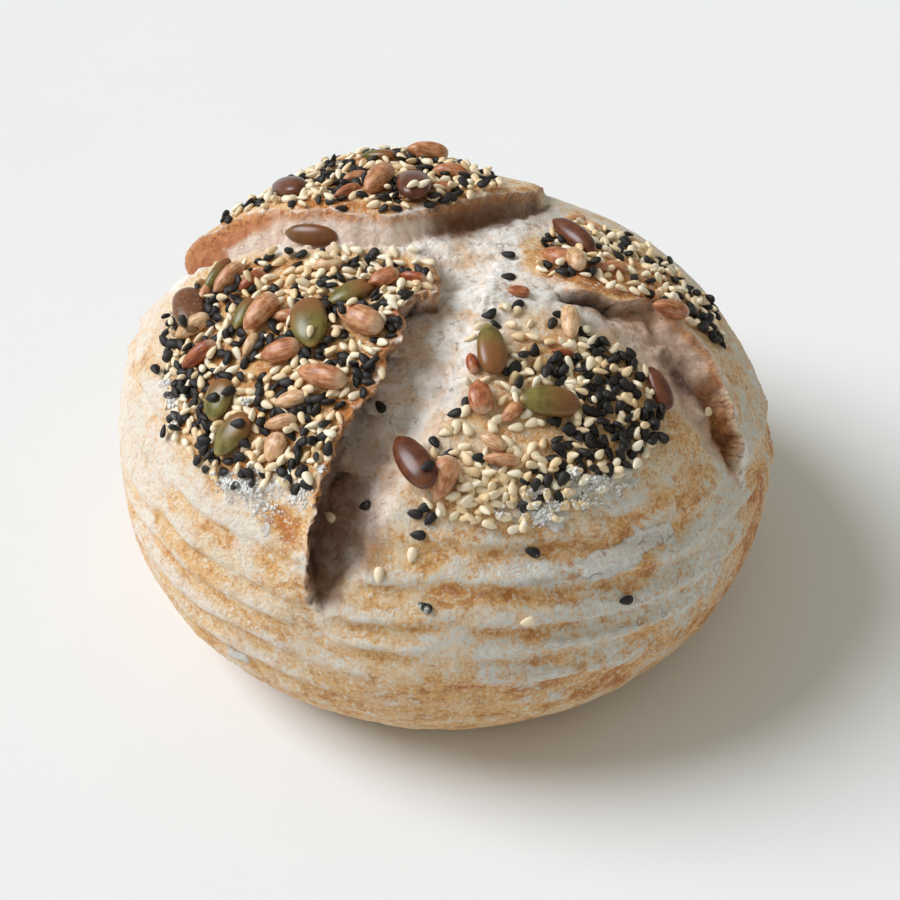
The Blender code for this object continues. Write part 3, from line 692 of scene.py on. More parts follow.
def make_loaf_mesh():
    """The crust and crumb as one closed mesh."""
    turns = column_turns(COLUMNS)
    rows = mesh_rows()
    reaches = [np.zeros(1)]
    directions = [np.zeros(1)]
    cells = [np.full(1, 0.1)]
    starts = []
    corner_count = 1
    previous = 0
    for reach, skip in rows:
        chosen = turns[::skip]
        cell = min(reach - previous, reach * 2 * math.pi / len(chosen))
        reaches.append(np.full(len(chosen), reach))
        directions.append(chosen)
        cells.append(np.full(len(chosen), cell))
        starts.append((corner_count, len(chosen)))
        corner_count += len(chosen)
        previous = reach
    reach = np.concatenate(reaches)
    direction = np.concatenate(directions)
    u, v = slide_to_lips(reach * np.cos(direction), reach * np.sin(direction), np.concatenate(cells))
    x, y, z, at = crust_points(u, v)
    faces = [(0, 1 + side, 1 + (side + 1) % starts[0][1]) for side in range(starts[0][1])]
    for (first, first_count), (second, second_count) in zip(starts, starts[1:]):
        faces += join_rows(first, first_count, second, second_count)
    last, last_count = starts[-1]
    faces.append(tuple(last + side for side in reversed(range(last_count))))
    mesh = bpy.data.meshes.new("bread")
    mesh.from_pydata((np.stack([x, y, z], -1) * MM).tolist(), [], faces)
    mesh.update()
    for name, channels in colour_masks(u, v, at).items():
        put_colours(mesh, name, channels)
    return mesh


def linear(red, green, blue):
    """A colour given as 0 to 255 display values, as the shader takes it."""
    channels = [value / 255 for value in (red, green, blue)]
    shares = [c / 12.92 if c <= 0.04045 else ((c + 0.055) / 1.055) ** 2.4 for c in channels]
    return (*shares, 1)


class Paint:
    """Short ways to build one material's nodes."""

    def __init__(self, name, roughness):
        self.material = bpy.data.materials.new(name)
        self.material.use_nodes = True
        self.tree = self.material.node_tree
        self.shader = self.tree.nodes["Principled BSDF"]
        self.feed(self.shader.inputs["Roughness"], roughness)
        self.place = self.node("TexCoord").outputs["Object"]

    def feed(self, socket, value):
        """Give a socket a plain value or another node's output."""
        if isinstance(value, bpy.types.NodeSocket):
            self.tree.links.new(value, socket)
        else:
            socket.default_value = value

    def node(self, kind, inputs=None, **settings):
        """Make a node with its settings, and feed its inputs."""
        made = self.tree.nodes.new("ShaderNode" + kind)
        for name, value in settings.items():
            setattr(made, name, value)
        for socket, value in (inputs or {}).items():
            self.feed(made.inputs[socket], value)
        return made

    def math(self, operation, *values):
        return self.node("Math", dict(enumerate(values)), operation=operation).outputs[0]

    def product(self, result, *factors):
        for factor in factors:
            result = self.math("MULTIPLY", result, factor)
        return result

    def rest(self, share):
        """What a share leaves of 1."""
        return self.math("SUBTRACT", 1, share)

    def total(self, *terms):
        """Sum of (value, factor) pairs and plain values."""
        result = 0
        for term in terms:
            if isinstance(term, tuple):
                result = self.math("MULTIPLY_ADD", term[0], term[1], result)
            else:
                result = self.math("ADD", term, result)
        return result

    def step(self, value, low, high):
        """Go from 0 at low to 1 at high with level ends."""
        inputs = {
            "Value": value, "From Min": min(low, high), "From Max": max(low, high),
            "To Min": float(low > high), "To Max": float(low < high),
        }
        return self.node("MapRange", inputs, interpolation_type="SMOOTHSTEP").outputs["Result"]

    def mix(self, share, first, second):
        """Blend two colours; a tuple is a colour in 0 to 255 display values."""
        first, second = (linear(*each) if isinstance(each, tuple) else each for each in (first, second))
        return self.node("Mix", {0: share, 6: first, 7: second}, data_type="RGBA").outputs[2]

    def over(self, colour, upper, *shares):
        """Lay a colour over another one, as thick as the product of the shares."""
        return self.mix(self.product(*shares), colour, upper)

    def tones(self, value, low, high, first, second):
        """Change from the first colour to the second while a value goes from low to high."""
        return self.mix(self.step(value, low, high), first, second)

    def noise(self, size, detail=3, roughness=0.55, distortion=0, stretch=None):
        """Noise with blobs of about size millimetres, from 0 to 1 with a mean of 0.5."""
        place = self.place
        if stretch:
            place = self.node("Mapping", {"Vector": place, "Scale": stretch}).outputs[0]
        inputs = {
            "Vector": place, "Scale": 1 / (size * MM), "Detail": detail, "Roughness": roughness,
            "Distortion": distortion,
        }
        return self.node("TexNoise", inputs).outputs["Fac"]

    def cracks(self, size, width):
        """0 on the cracks between cells of about size millimetres, 1 inside the cells."""
        wobble = self.node("TexNoise", {"Vector": self.place, "Scale": 0.6 / (size * MM), "Detail": 3})
        inputs = {0: wobble.outputs["Color"], 1: (0.9 * size * MM,) * 3, 2: self.place}
        moved = self.node("VectorMath", inputs, operation="MULTIPLY_ADD")
        inputs = {"Vector": moved.outputs[0], "Scale": 1 / (size * MM)}
        cells = self.node("TexVoronoi", inputs, feature="DISTANCE_TO_EDGE")
        return self.step(cells.outputs["Distance"], 0, width)

    def masks(self, name):
        """The four masks of one colour attribute."""
        made = self.node("Attribute", attribute_name=name).outputs
        split = self.node("SeparateColor", {0: made["Color"]}).outputs
        return split[0], split[1], split[2], made["Alpha"]

    def powder(self, dust, size, low, high):
        """Share of flour on seeds, in blobs of about size millimetres."""
        return self.step(self.total(dust, (self.noise(size, 3), 0.9), -0.45), low, high)

    def bump(self, height, depth, strength):
        """Bump the surface by a height of 0 to 1 that stands for depth millimetres."""
        made = self.node("Bump", {"Strength": strength, "Distance": depth * MM, "Height": height})
        self.feed(self.shader.inputs["Normal"], made.outputs[0])

    def finish(self, colour, roughness=None):
        self.feed(self.shader.inputs["Base Color"], colour)
        if roughness is not None:
            self.feed(self.shader.inputs["Roughness"], roughness)
        return self.material


# Noises in the bread: size in millimetres, detail, roughness, distortion and stretch
BREAD_NOISES = {
    "grain": (0.6, 4, 0.75),
    "speckle": (0.85, 3, 0.62, 0.2),
    "fine": (1.3, 5, 0.72),
    "rough": (1.8, 8, 0.8),
    "small": (2.4, 3, 0.6),
    "fuzzy": (3, 5, 0.62, 0.7),
    "broken": (4, 9, 0.74, 0.3),
    "amber": (5, 8, 0.7, 0.5, (1, 1, 1.6)),
    "medium": (6.5, 3, 0.55, 0.3, (0.8, 0.8, 1.5)),
    "large": (18, 3, 0.5, 0, (0.8, 0.8, 1.5)),
}


def bread_looks(paint):
    """The bread's masks, its noises, and two shares that grow from its left to its right; the second paints
    shade onto the loaf's right side.
    """
    looks = {name: paint.noise(*noise_looks) for name, noise_looks in BREAD_NOISES.items()}
    for attribute, names in BREAD_MASKS.items():
        looks.update(zip(names, paint.masks(attribute)))
    across = paint.node("SeparateXYZ", {0: paint.place}).outputs[0]
    looks["coarse_side"] = paint.step(across, -0.045, 0.005)
    # A ramp across the loaf that paints shade onto its right side
    looks["to_right"] = paint.step(across, -0.02, 0.06)
    return SimpleNamespace(**looks)


def crust_looks(paint, at):
    """Colour and relief of the crust, and its haze of flour."""
    # Peach to golden tan, mottled with orange-brown
    tanned = paint.total(at.brown, (at.large, 0.8), (at.amber, 1.8), -1.32)
    crust = paint.tones(tanned, 0.05, 0.5, (255, 230, 194), (250, 200, 134))
    crust = paint.tones(tanned, 0.5, 1, crust, (218, 136, 56))
    mottles = paint.total((at.amber, 1.1), (at.broken, -0.8), (at.grain, 0.6), (at.fine, 0.4))
    mottles = paint.step(paint.total(mottles, (at.brown, 0.25)), 0.74, 0.98)
    crust = paint.over(crust, (192, 114, 46), mottles, 0.62)

    # A haze of fine flour, closed where it lies thick
    patchy = paint.product(paint.total(at.broken, -0.5), paint.total((at.coarse_side, 1.3), 0.9))
    cover = paint.total(at.flour, (at.medium, 0.8), patchy, -0.4)
    haze = paint.step(cover, 0.05, 0.75)
    # Flour painted a little darker on the right, as painted shade
    powder = paint.mix(at.to_right, (254, 249, 242), (242, 238, 226))
    crust = paint.over(crust, paint.mix(0.35, powder, (240, 204, 164)), haze, 0.3)
    gaps = paint.step(paint.noise(1.3, 4, 0.66, 0.3), 0.52, 0.42)
    dusted = paint.step(paint.total(haze, (at.fine, 0.7), (at.grain, 0.7), -0.7), 0.2, 0.9)
    dusted = paint.product(dusted, paint.rest(paint.product(gaps, 0.595)))
    plates = paint.step(paint.total(cover, (at.grain, 0.8), (at.fine, 0.8), -0.8), 0.26, 0.84)
    plates = paint.product(plates, at.coarse_side, paint.rest(paint.product(gaps, 0.85)))
    crust = paint.over(crust, powder, dusted, 0.66)
    plate_tone = paint.tones(at.rough, 0.35, 0.6, (222, 221, 213), (254, 255, 252))
    crust = paint.over(crust, plate_tone, plates, 0.92)

    # Cakes of flour, coarse grains and cracks
    caked = paint.step(paint.total(at.cakes, (at.small, 0.6), (at.fine, 0.9), -0.75), 0.38, 0.6)
    crust = paint.over(crust, (244, 244, 241), caked, 0.92)
    clusters = paint.total((paint.step(at.broken, 0.4, 0.6), 0.7), 0.3)
    light_grains = paint.product(paint.step(at.speckle, 0.53, 0.62), paint.rest(caked), clusters)
    # Light grains painted a little darker on the right, as painted shade
    light_tone = paint.mix(at.to_right, (255, 249, 236), (250, 246, 234))
    crust = paint.over(crust, light_tone, light_grains, 0.85)
    dark_grains = paint.step(at.speckle, 0.48, 0.38)
    bare = paint.step(paint.total(dusted, plates), 1.1, 0.2)
    # Dark grains grow denser towards the right along the painted shade ramp
    crust = paint.over(crust, (184, 112, 48), dark_grains, bare, paint.total((at.to_right, 0.26), 0.16))
    here_and_there = paint.step(paint.noise(3.6, 1), 0.54, 0.6)
    cracks = paint.product(paint.rest(paint.cracks(4.2, 0.035)), here_and_there)
    cracks = paint.product(cracks, paint.math("MAXIMUM", at.split, caked))
    crust = paint.over(crust, (180, 132, 84), cracks, 0.45)
    height = paint.total((caked, 0.7), (at.broken, 1.6), (plates, 0.2), (at.rough, 1.4), (at.speckle, 1.3))
    return crust, paint.total(height, (cracks, -0.8)), haze


def crumb_looks(paint, at):
    """Colour and relief of the whitish pink, fuzzy crumb and of the walls under the lips, with painted shade
    in the crumb's hollows and pits and on the back wall's right part.
    """
    fluff = paint.total((at.fuzzy, 0.5), (at.fine, 0.3), (at.grain, 0.2))
    crumb = paint.tones(fluff, 0.36, 0.56, (244, 229, 214), (255, 253, 249))
    pits = paint.noise(2.2, 4, 0.65, 0.5)
    toasted = paint.total((at.large, 0.3), (at.medium, 0.45), (at.fine, 0.25))
    for value, low, high, share, colour in (
        (toasted, 0.48, 0.58, 0.46, (230, 180, 120)),
        (paint.total((at.fine, 0.5), (at.grain, 0.5)), 0.58, 0.66, 0.34, (200, 144, 98)),
        # Painted shade in the crumb's small pits, which are also bumped in
        (pits, 0.4, 0.31, 0.4, (156, 116, 84)),
        (paint.noise(1, 1.5), 0.64, 0.7, 0.45, (206, 142, 84)),
        (paint.noise(5.5, 7, 0.68, 0.8), 0.54, 0.64, 0.42, (224, 172, 108)),
        # Painted shade deep in the crumb's hollows
        (paint.total(at.low, (at.fuzzy, 0.7)), 1.05, 1.55, 0.45, (150, 110, 84)),
    ):
        crumb = paint.over(crumb, colour, paint.step(value, low, high), share)
    # Painted shade on the right part of the back lobe's wall, which faces away from the light
    shaded_wall = paint.tones(at.fuzzy, 0.35, 0.65, (100, 70, 48), (160, 124, 98))
    pink_wall = paint.tones(at.fuzzy, 0.35, 0.65, (240, 214, 194), (252, 240, 228))
    toasted_wall = paint.tones(at.small, 0.3, 0.7, (176, 92, 40), (206, 128, 70))
    wall = paint.tones(at.wall_kind, 0.1, 0.5, shaded_wall, pink_wall)
    wall = paint.tones(at.wall_kind, 0.66, 0.88, wall, toasted_wall)
    crumb = paint.over(crumb, wall, at.wall_b, 0.9)
    right_wall = paint.tones(at.small, 0.3, 0.7, (188, 138, 108), (230, 194, 168))
    crumb = paint.over(crumb, right_wall, at.cut_c, 0.8)
    height = paint.total((at.fuzzy, 1.7), (at.broken, 1), (at.rough, 0.9))
    return crumb, paint.total(height, (paint.step(pits, 0.4, 0.31), -0.6))


def bread_material():
    """Crust with flour and browning, and whitish torn crumb with toasted edges, with painted shade in the
    cuts and on the right side and a partly painted highlight on one lip.
    """
    paint = Paint("bread", 0.85)
    at = bread_looks(paint)
    crust, crust_height, haze = crust_looks(paint, at)
    crumb, crumb_height = crumb_looks(paint, at)
    colour = paint.mix(at.crumb, crust, crumb)
    # Painted shade with some browning in the cuts under the lips, darker towards the right
    shade = paint.mix(at.to_right, (120, 66, 28), (78, 44, 24))
    colour = paint.over(colour, shade, at.dark_foot, paint.total((at.broken, 1.3), 0.2))
    toast = paint.tones(at.fine, 0.35, 0.65, (166, 88, 34), (232, 164, 92))
    colour = paint.over(colour, toast, at.torn, paint.total((paint.step(at.small, 0.35, 0.6), 0.4), 0.6))
    # Pale cream along the right lobe's lower lip, partly flour and partly a painted highlight
    colour = paint.over(colour, (246, 232, 204), at.white_edge, paint.step(at.fine, 0.3, 0.5), 0.8)
    height = paint.node("Mix", {0: at.crumb, 2: crust_height, 3: crumb_height}, data_type="FLOAT")
    paint.bump(height.outputs[0], 0.5, 1)
    paint.feed(paint.shader.inputs["Specular IOR Level"], 0.45)
    roughness = paint.total(0.76, (at.torn, -0.2), (at.cut_c, -0.3), (at.brown, -0.2), (haze, 0.15))
    return paint.finish(colour, roughness)


def sesame_material(name, light, toasted, dusty, roughness):
    """Small seeds that differ in tone, some of them dusted with flour."""
    paint = Paint(name, roughness)
    tone, along, dust, _ = paint.masks("seed")
    fine = paint.noise(0.5, 2)
    colour = paint.mix(paint.total(tone, (fine, 0.4), -0.2), light, toasted)
    colour = paint.over(colour, toasted, paint.step(along, 0.14, 0), 0.6)
    powder = paint.powder(dust, 0.9, 0.36, 0.56)
    colour = paint.mix(powder, colour, dusty)
    paint.bump(paint.total(fine, (powder, 0.8)), 0.08, 0.5)
    return paint.finish(colour, paint.total(roughness, (powder, 0.4), (fine, 0.1)))


def seed_streaks(paint, along, size):
    """Noise drawn out along each seed, from 0 to 1."""
    across, around, own, _ = paint.masks("side")
    shifted = paint.total((across, 2), (own, 40))
    inputs = {0: shifted, 1: paint.product(around, 2), 2: paint.product(along, 0.9)}
    place = paint.node("CombineXYZ", inputs).outputs[0]
    return paint.node("TexNoise", {"Vector": place, "Scale": size, "Detail": 3}).outputs["Fac"]


def pumpkin_material():
    """Hulled pumpkin seeds from olive green to glossy dark brown."""
    paint = Paint("pumpkin_seed", 0.3)
    tone, along, dust, _ = paint.masks("seed")
    streaks = seed_streaks(paint, along, 2)
    small = paint.noise(2.5, 2)
    green = paint.tones(small, 0.3, 0.7, (96, 88, 34), (132, 124, 62))
    green = paint.tones(paint.total(along, (small, 0.5), (tone, 0.8)), 0.6, 1.25, green, (136, 88, 46))
    green = paint.over(green, (176, 134, 72), paint.step(along, 0.1, 0), 0.7)
    dark = paint.tones(small, 0.3, 0.7, (84, 42, 26), (112, 62, 38))
    colour = paint.tones(tone, 0.4, 0.65, green, dark)
    colour = paint.over(colour, (66, 46, 24), paint.step(streaks, 0.45, 0.8), 0.3)
    powder = paint.powder(dust, 0.8, 0.3, 0.8)
    colour = paint.over(colour, (206, 196, 180), powder, 0.6)
    paint.bump(paint.total((small, 0.3), (streaks, 0.7)), 0.14, 0.5)
    return paint.finish(colour, paint.total(0.24, (powder, 0.4), (small, 0.15)))


def kernel_material():
    """Toasted sunflower kernels and hulls, pinkish tan to red-brown, with streaks along them."""
    paint = Paint("kernel", 0.45)
    tone, along, dust, _ = paint.masks("seed")
    streaks = seed_streaks(paint, along, 4)
    small = paint.noise(1.6, 2, 0.5)
    pale = paint.tones(small, 0.3, 0.7, (216, 172, 124), (242, 212, 174))
    pink = paint.tones(small, 0.3, 0.7, (178, 108, 64), (218, 162, 120))
    red = paint.tones(small, 0.3, 0.7, (140, 62, 30), (180, 98, 54))
    colour = paint.tones(tone, 0, 0.5, pale, pink)
    colour = paint.tones(tone, 0.5, 0.95, colour, red)
    colour = paint.over(colour, (112, 58, 32), paint.step(streaks, 0.5, 0.62), 0.45)
    colour = paint.over(colour, (244, 216, 180), paint.step(streaks, 0.42, 0.32), 0.25)
    colour = paint.over(colour, (240, 216, 186), paint.step(along, 0.8, 1), 0.5)
    powder = paint.powder(dust, 0.8, 0.3, 0.8)
    colour = paint.over(colour, (230, 214, 196), powder, 0.6)
    paint.bump(paint.total((small, 0.6), (streaks, -0.8)), 0.11, 0.6)
    return paint.finish(colour, paint.total(0.3, (powder, 0.3), (small, 0.15)))


def flour_material():
    """Loose white flour."""
    paint = Paint("flour", 0.95)
    loose = paint.noise(0.7, 5, 0.75)
    paint.bump(loose, 0.2, 0.6)
    return paint.finish(paint.tones(loose, 0.35, 0.65, (214, 214, 212), (246, 246, 246)))


# Mesh sides and rings of a seed, its width and thickness against its length, how far it narrows
# towards its tip, how flat it is, and the height and number of the ridges along it
SEED_SHAPES = {
    "sesame": (8, 7, 0.64, 0.38, 0.36, 0.9, 0, 0),
    "pumpkin": (18, 14, 0.56, 0.3, 0.14, 0.85, 0.02, 2),
    "kernel": (16, 12, 0.52, 0.46, 0.2, 0.95, 0.015, 5),
    "clump": (6, 4, 0.9, 0.7, 0.2, 1, 0.16, 3),
}


def seed_shape(kind):
    """Corners, faces and surface values of one seed of length 1 that lies along X."""
    sides, rings, width, thickness, taper, flat, ripple, ridges = SEED_SHAPES[kind]
    corners = [(-0.5, 0, 0)]
    along = [0]
    sides_round = [(0.5, 0.5)]
    for ring in range(1, rings + 1):
        lean = math.pi * ring / (rings + 1)
        place = -math.cos(lean)
        girth = math.sin(lean) ** 0.85 * (1 + taper * place) / (1 + 0.3 * taper)
        girth *= 1 - 0.3 * float(smooth(-0.6, -1, place))
        for side in range(sides):
            turn = 2 * math.pi * side / sides
            wave = 1 + ripple * math.cos(ridges * turn)
            y = math.cos(turn) * wave
            z = math.copysign(abs(math.sin(turn)) ** flat, math.sin(turn)) * wave
            corners.append((0.5 * place, 0.5 * width * girth * y, 0.5 * thickness * girth * z))
            along.append(0.5 + 0.5 * place)
            sides_round.append((0.5 + 0.5 * math.cos(turn), 0.5 + 0.5 * math.sin(turn)))
    corners.append((0.5, 0, 0))
    along.append(1)
    sides_round.append((0.5, 0.5))
    tip = len(corners) - 1
    faces = []
    for side in range(sides):
        after = (side + 1) % sides
        faces.append((0, 1 + after, 1 + side))
        for ring in range(rings - 1):
            near = 1 + ring * sides
            faces.append((near + side, near + after, near + sides + after, near + sides + side))
        last = 1 + (rings - 1) * sides
        faces.append((last + side, last + after, tip))
    return np.array(corners), faces, along, sides_round


# Successive multiples of this share spread evenly between 0 and 1
GOLDEN_SHARE = 0.6180339887


class SeedPile:
    """Collects seeds of one kind and joins them into one mesh."""

    def __init__(self, kind):
        self.shape = seed_shape(kind)
        self.corners = []
        self.corner_count = 0
        self.faces = []
        self.looks = []
        self.sides = []
        self.seed_count = 0

    def add(self, matrix, size, tone, dust, bend=0):
        """Add a seed; size is its length, width and thickness against the kind's own proportions."""
        corners, faces, along, sides_round = self.shape
        own = (self.seed_count * GOLDEN_SHARE) % 1
        self.seed_count += 1
        start = self.corner_count
        self.corner_count += len(corners)
        shaped = corners * np.array(size)
        shaped[:, 2] -= bend * size[0] * (2 * corners[:, 0]) ** 2
        turn = np.array(matrix.to_3x3())
        self.corners.append((shaped @ turn.T) * MM + np.array(matrix.translation) * MM)
        self.faces += [tuple(start + corner for corner in face) for face in faces]
        self.looks += [(tone, value, dust) for value in along]
        self.sides += [(across, around, own) for across, around in sides_round]

    def piece(self, name, material):
        mesh = bpy.data.meshes.new(name)
        mesh.from_pydata(np.concatenate(self.corners).tolist(), [], self.faces)
        mesh.update()
        put_colours(mesh, "seed", np.array(self.looks).T)
        put_colours(mesh, "side", np.array(self.sides).T)
        return add_piece(name, mesh, material)


def tree_over(mesh, piles):
    """A search tree in millimetres over a mesh and the seeds already laid on it."""
    corners = [corner.co / MM for corner in mesh.vertices]
    faces = [tuple(face.vertices) for face in mesh.polygons]
    for pile in piles:
        start = len(corners)
        corners += [Vector(corner) / MM for corner in np.concatenate(pile.corners)]
        faces += [tuple(start + corner for corner in face) for face in pile.faces]
    return BVHTree.FromPolygons(corners, faces)


def surface_over_map(tree, u, v):
    """The loaf's point and normal over a map point, in millimetres."""
    turn, radius, height, outward, upward = (float(value) for value in dome_at(u, v))
    spot = Vector((radius * math.cos(turn), radius * math.sin(turn), height))
    away = Vector((outward * math.cos(turn), outward * math.sin(turn), upward))
    return tree.ray_cast(spot + away * RAY_HEADROOM, -away)[:2]


def camera_ray(pixel_x, pixel_y):
    """Start and direction in millimetres of the view through a point of the photograph's frame."""
    lean = math.radians(CAMERA_ELEVATION)
    back = Vector((0, -math.cos(lean), math.sin(lean)))
    upward = Vector((0, math.sin(lean), math.cos(lean)))
    start = Vector((0, 0, CAMERA_TARGET_HEIGHT)) + CAMERA_DISTANCE * back
    right = (pixel_x - LOAF_MIDDLE_PIXEL[0]) / PIXELS_PER_MM
    above = (LOAF_MIDDLE_PIXEL[1] - pixel_y) / PIXELS_PER_MM
    aim = Vector((right, 0, 0)) + above * upward - CAMERA_DISTANCE * back
    return start, aim.normalized()


def surface_at_pixel(tree, pixel_x, pixel_y):
    """The loaf's point and normal that the photograph shows at a pixel."""
    return tree.ray_cast(*camera_ray(pixel_x, pixel_y))[:2]


def along_picture(spot, normal, pixel_x, pixel_y, angle):
    """The way on the surface at a spot that covers AIM_PIXELS in the photograph at an angle."""
    turn = math.radians(angle)
    start, aim = camera_ray(pixel_x + AIM_PIXELS * math.cos(turn), pixel_y - AIM_PIXELS * math.sin(turn))
    return start + aim * ((spot - start).dot(normal) / aim.dot(normal)) - spot


def smooth_normal(tree, spot, normal, spread):
    """The loaf's slope round a point, evened out over its bumps."""
    total = normal.copy()
    side = normal.orthogonal().normalized()
    for step in range(6):
        offset = Matrix.Rotation(step * math.pi / 3, 3, normal) @ side * spread
        near, near_normal, _, _ = tree.find_nearest(spot + offset)
        if near is not None and near_normal.dot(normal) > 0.2:
            total += near_normal
    return total.normalized()


def seed_matrix(spot, normal, forward, lift, roll=0, pitch=0):
    """Place of a seed whose flat side lies on the crust and whose length points forward."""
    along = (forward - normal * forward.dot(normal)).normalized()
    across = normal.cross(along)
    turn = Matrix((along, across, normal)).transposed()
    turn = turn @ Matrix.Rotation(pitch, 3, "Y") @ Matrix.Rotation(roll, 3, "X")
    return Matrix.Translation(spot + normal * lift) @ turn.to_4x4()


# Large seeds by where the photograph shows them: middle in pixels, length in pixels, angle in degrees
# above the frame's right, width and tone, and optionally dust, roll in degrees and lift
PUMPKIN_SEEDS = [
    (221, 279, 40, 52, 0.62, 0.15, 0.2, 40, 0.5), (195, 315, 44, 100, 0.9, 0.55, 0.3, 25, 0.3),
    (246, 315, 38, 60, 0.8, 0.1, 0.25), (312, 328, 48, 98, 1.08, 0.1, 0.15, 0, 0.5),
    (352, 296, 50, 22, 0.95, 0.12), (222, 402, 44, 75, 1.3, 0.05, 0, 0, 0.5),
    (236, 437, 52, 50, 1.1, 0.08, 0, 0, 0.5), (291, 193, 48, -15, 0.85, 0.8),
    (313, 235, 52, -6, 0.72, 0.53), (414, 194, 40, -80, 0.95, 0.95, 0, 0, 1), (379, 159, 34, 0, 0.8, 0.2),
    (570, 244, 58, -38, 0.62, 0.9, 0, 35, 0.9), (491, 354, 50, -82, 0.88, 0.32, 0, 0, 0.7),
    (547, 405, 60, -6, 0.95, 0.2, 0, 0, 0.6), (655, 391, 47, -65, 0.75, 0.85, 0, 20, 0.5),
    (417, 466, 60, -55, 0.84, 0.92, 0, 0, 0.7),
]
KERNELS = [
    (231, 282, 40, 45, 0.9, 0.35), (253, 284, 32, 40, 0.9, 0.85), (196, 330, 40, 35, 0.8, 0.15),
    (264, 319, 46, 48, 1.05, 0.45, 0.3, 0, 0.8), (285, 318, 24, 10, 0.9, 0.4, 0.2),
    (385, 284, 33, 20, 1.3, 0.75, 0, 0, 0.8), (414, 284, 28, -8, 0.7, 0.95, 0, 0, 0.9),
    (363, 326, 50, -24, 0.95, 0.4, 0.15, 0, 0.8), (327, 382, 50, -12, 0.8, 0.6, 0, 0, 0.8),
    (284, 356, 42, 18, 1.1, 0.7, 0, 0, 0.8), (252, 347, 26, 60, 0.9, 0.1), (203, 358, 42, 38, 0.75, 0.95),
    (292, 402, 32, 15, 1.1, 0.2, 0.3), (283, 424, 34, 15, 0.8, 0.25), (277, 449, 32, 70, 1.5, 0.22, 0.2),
    (329, 268, 34, 10, 0.9, 0.05), (208, 296, 26, 60, 0.8, 0.5), (440, 191, 22, -10, 1, 0.9),
    (379, 187, 36, 45, 0.9, 0.45, 0.2), (355, 181, 26, 15, 0.9, 0.45), (348, 196, 28, 20, 0.8, 0.8),
    (426, 161, 42, -8, 0.8, 0.55, 0, 0, 0.9), (451, 178, 40, -8, 0.9, 0.65), (331, 160, 26, 0, 0.8, 0.6),
    (557, 261, 30, -20, 1.2, 0.7), (615, 269, 24, -20, 0.9, 0.5), (597, 270, 16, 10, 1, 0.75),
    (575, 222, 22, -10, 0.9, 0.3), (592, 230, 20, -30, 0.9, 0.3), (575, 264, 20, -60, 0.9, 0.2),
    (667, 313, 36, -15, 0.85, 0.72), (518, 294, 23, -10, 1.2, 0.8), (473, 365, 20, -75, 1, 1),
    (480, 400, 34, -80, 1.35, 0.75, 0, 0, 0.4), (443, 480, 46, 70, 1.15, 0.45, 0, 0, 0.9),
    (562, 355, 23, -10, 0.7, 1), (568, 327, 32, 95, 0.9, 0.15), (511, 414, 26, 45, 1.1, 0.55),
    (500, 461, 38, -5, 0.7, 0.35), (493, 443, 28, -30, 1.1, 0.2),
]

# Lone sesame seeds by where the photograph shows them: pixel, angle and optionally dust
LONE_BLACK_SESAMES = [
    (415, 514, -10), (424, 508, 25), (430, 519, 50), (418, 535, -5), (366, 506, 20), (381, 407, -50),
    (625, 600, 10, 0.1), (532, 552, -20, 0.3), (425, 607, -30, 0.4), (508, 256, -10), (508, 278, -5),
    (517, 306, 30), (213, 398, 10), (228, 392, 20), (238, 424, 5), (455, 414, 15), (449, 455, 20),
    (466, 405, 80), (427, 467, 30),
]
LONE_CREAM_SESAMES = [
    (527, 621, 15), (412, 555, 75), (379, 575, 85, 0.1), (331, 517, -35), (706, 413, 40), (465, 412, 60),
    (467, 430, -60), (446, 433, 20), (492, 427, -70), (466, 456, 0), (507, 442, -50), (516, 452, -60),
    (466, 472, -20), (456, 428, 80), (515, 428, 10), (531, 424, 25), (534, 455, -45),
]

# Clumps of flour among the seeds by where the photograph shows them: pixel, spread in pixels, count
FLOUR_CLUMPS = [
    (571, 475, 7, 90), (600, 481, 10, 130), (537, 492, 8, 100), (541, 516, 11, 150), (556, 505, 8, 60),
    (226, 481, 11, 130), (246, 487, 10, 120), (252, 470, 6, 40), (166, 383, 5, 40), (171, 402, 5, 40),
    (246, 402, 5, 24), (321, 470, 4, 40), (176, 424, 5, 24), (500, 512, 7, 30), (620, 492, 7, 30),
    (266, 505, 14, 60), (300, 500, 12, 50), (585, 500, 14, 50), (286, 470, 12, 30),
]

# Least and greatest length of a large seed, and its thickness against its length
LARGE_SIZES = {"pumpkin": (8, 15, 0.28), "kernel": (5, 12.5, 0.42)}

# Height of a large seed's middle against its thickness, and how far its ends bend down
LIFT_SHARE = 0.4
LARGE_BEND = 0.02

# Length, width and thickness of a lone sesame seed against its kind's own, its height and its tone
LONE_SIZE = (3.4, 3.5, 3.4)
LONE_LIFT = 0.45
LONE_TONE = 0.4

# Height and margin round a large seed that still count as lying on it
SEED_HEADROOM = 4
SEED_MARGIN = 0.3

# Length in the photograph that gives a seed its direction, and how far above the crust rays start
AIM_PIXELS = 4
RAY_HEADROOM = 30


def lay_large_seeds(tree, kind, places, pile):
    """Lay one kind of large seed where the photograph shows it, and say where on the loaf each lies."""
    laid = []
    shortest, longest, flatness = LARGE_SIZES[kind]
    for x, y, pixels, angle, width, tone, *rest in places:
        dust, roll, lift = (*rest, 0, 0, 0)[:3]
        spot, normal = surface_at_pixel(tree, x, y)
        if spot is None:
            continue
        normal = smooth_normal(tree, spot, normal, 3)
        forward = along_picture(spot, normal, x, y, angle)
        length = min(max(forward.length / AIM_PIXELS * pixels, shortest), longest)
        matrix = seed_matrix(spot, normal, forward, length * flatness * LIFT_SHARE + lift, math.radians(roll))
        pile.add(matrix, (length, length * width, length), tone, dust, LARGE_BEND)
        laid.append((matrix.inverted(), 0.5 * length, 0.5 * length * width * SEED_SHAPES[kind][2]))
    return laid


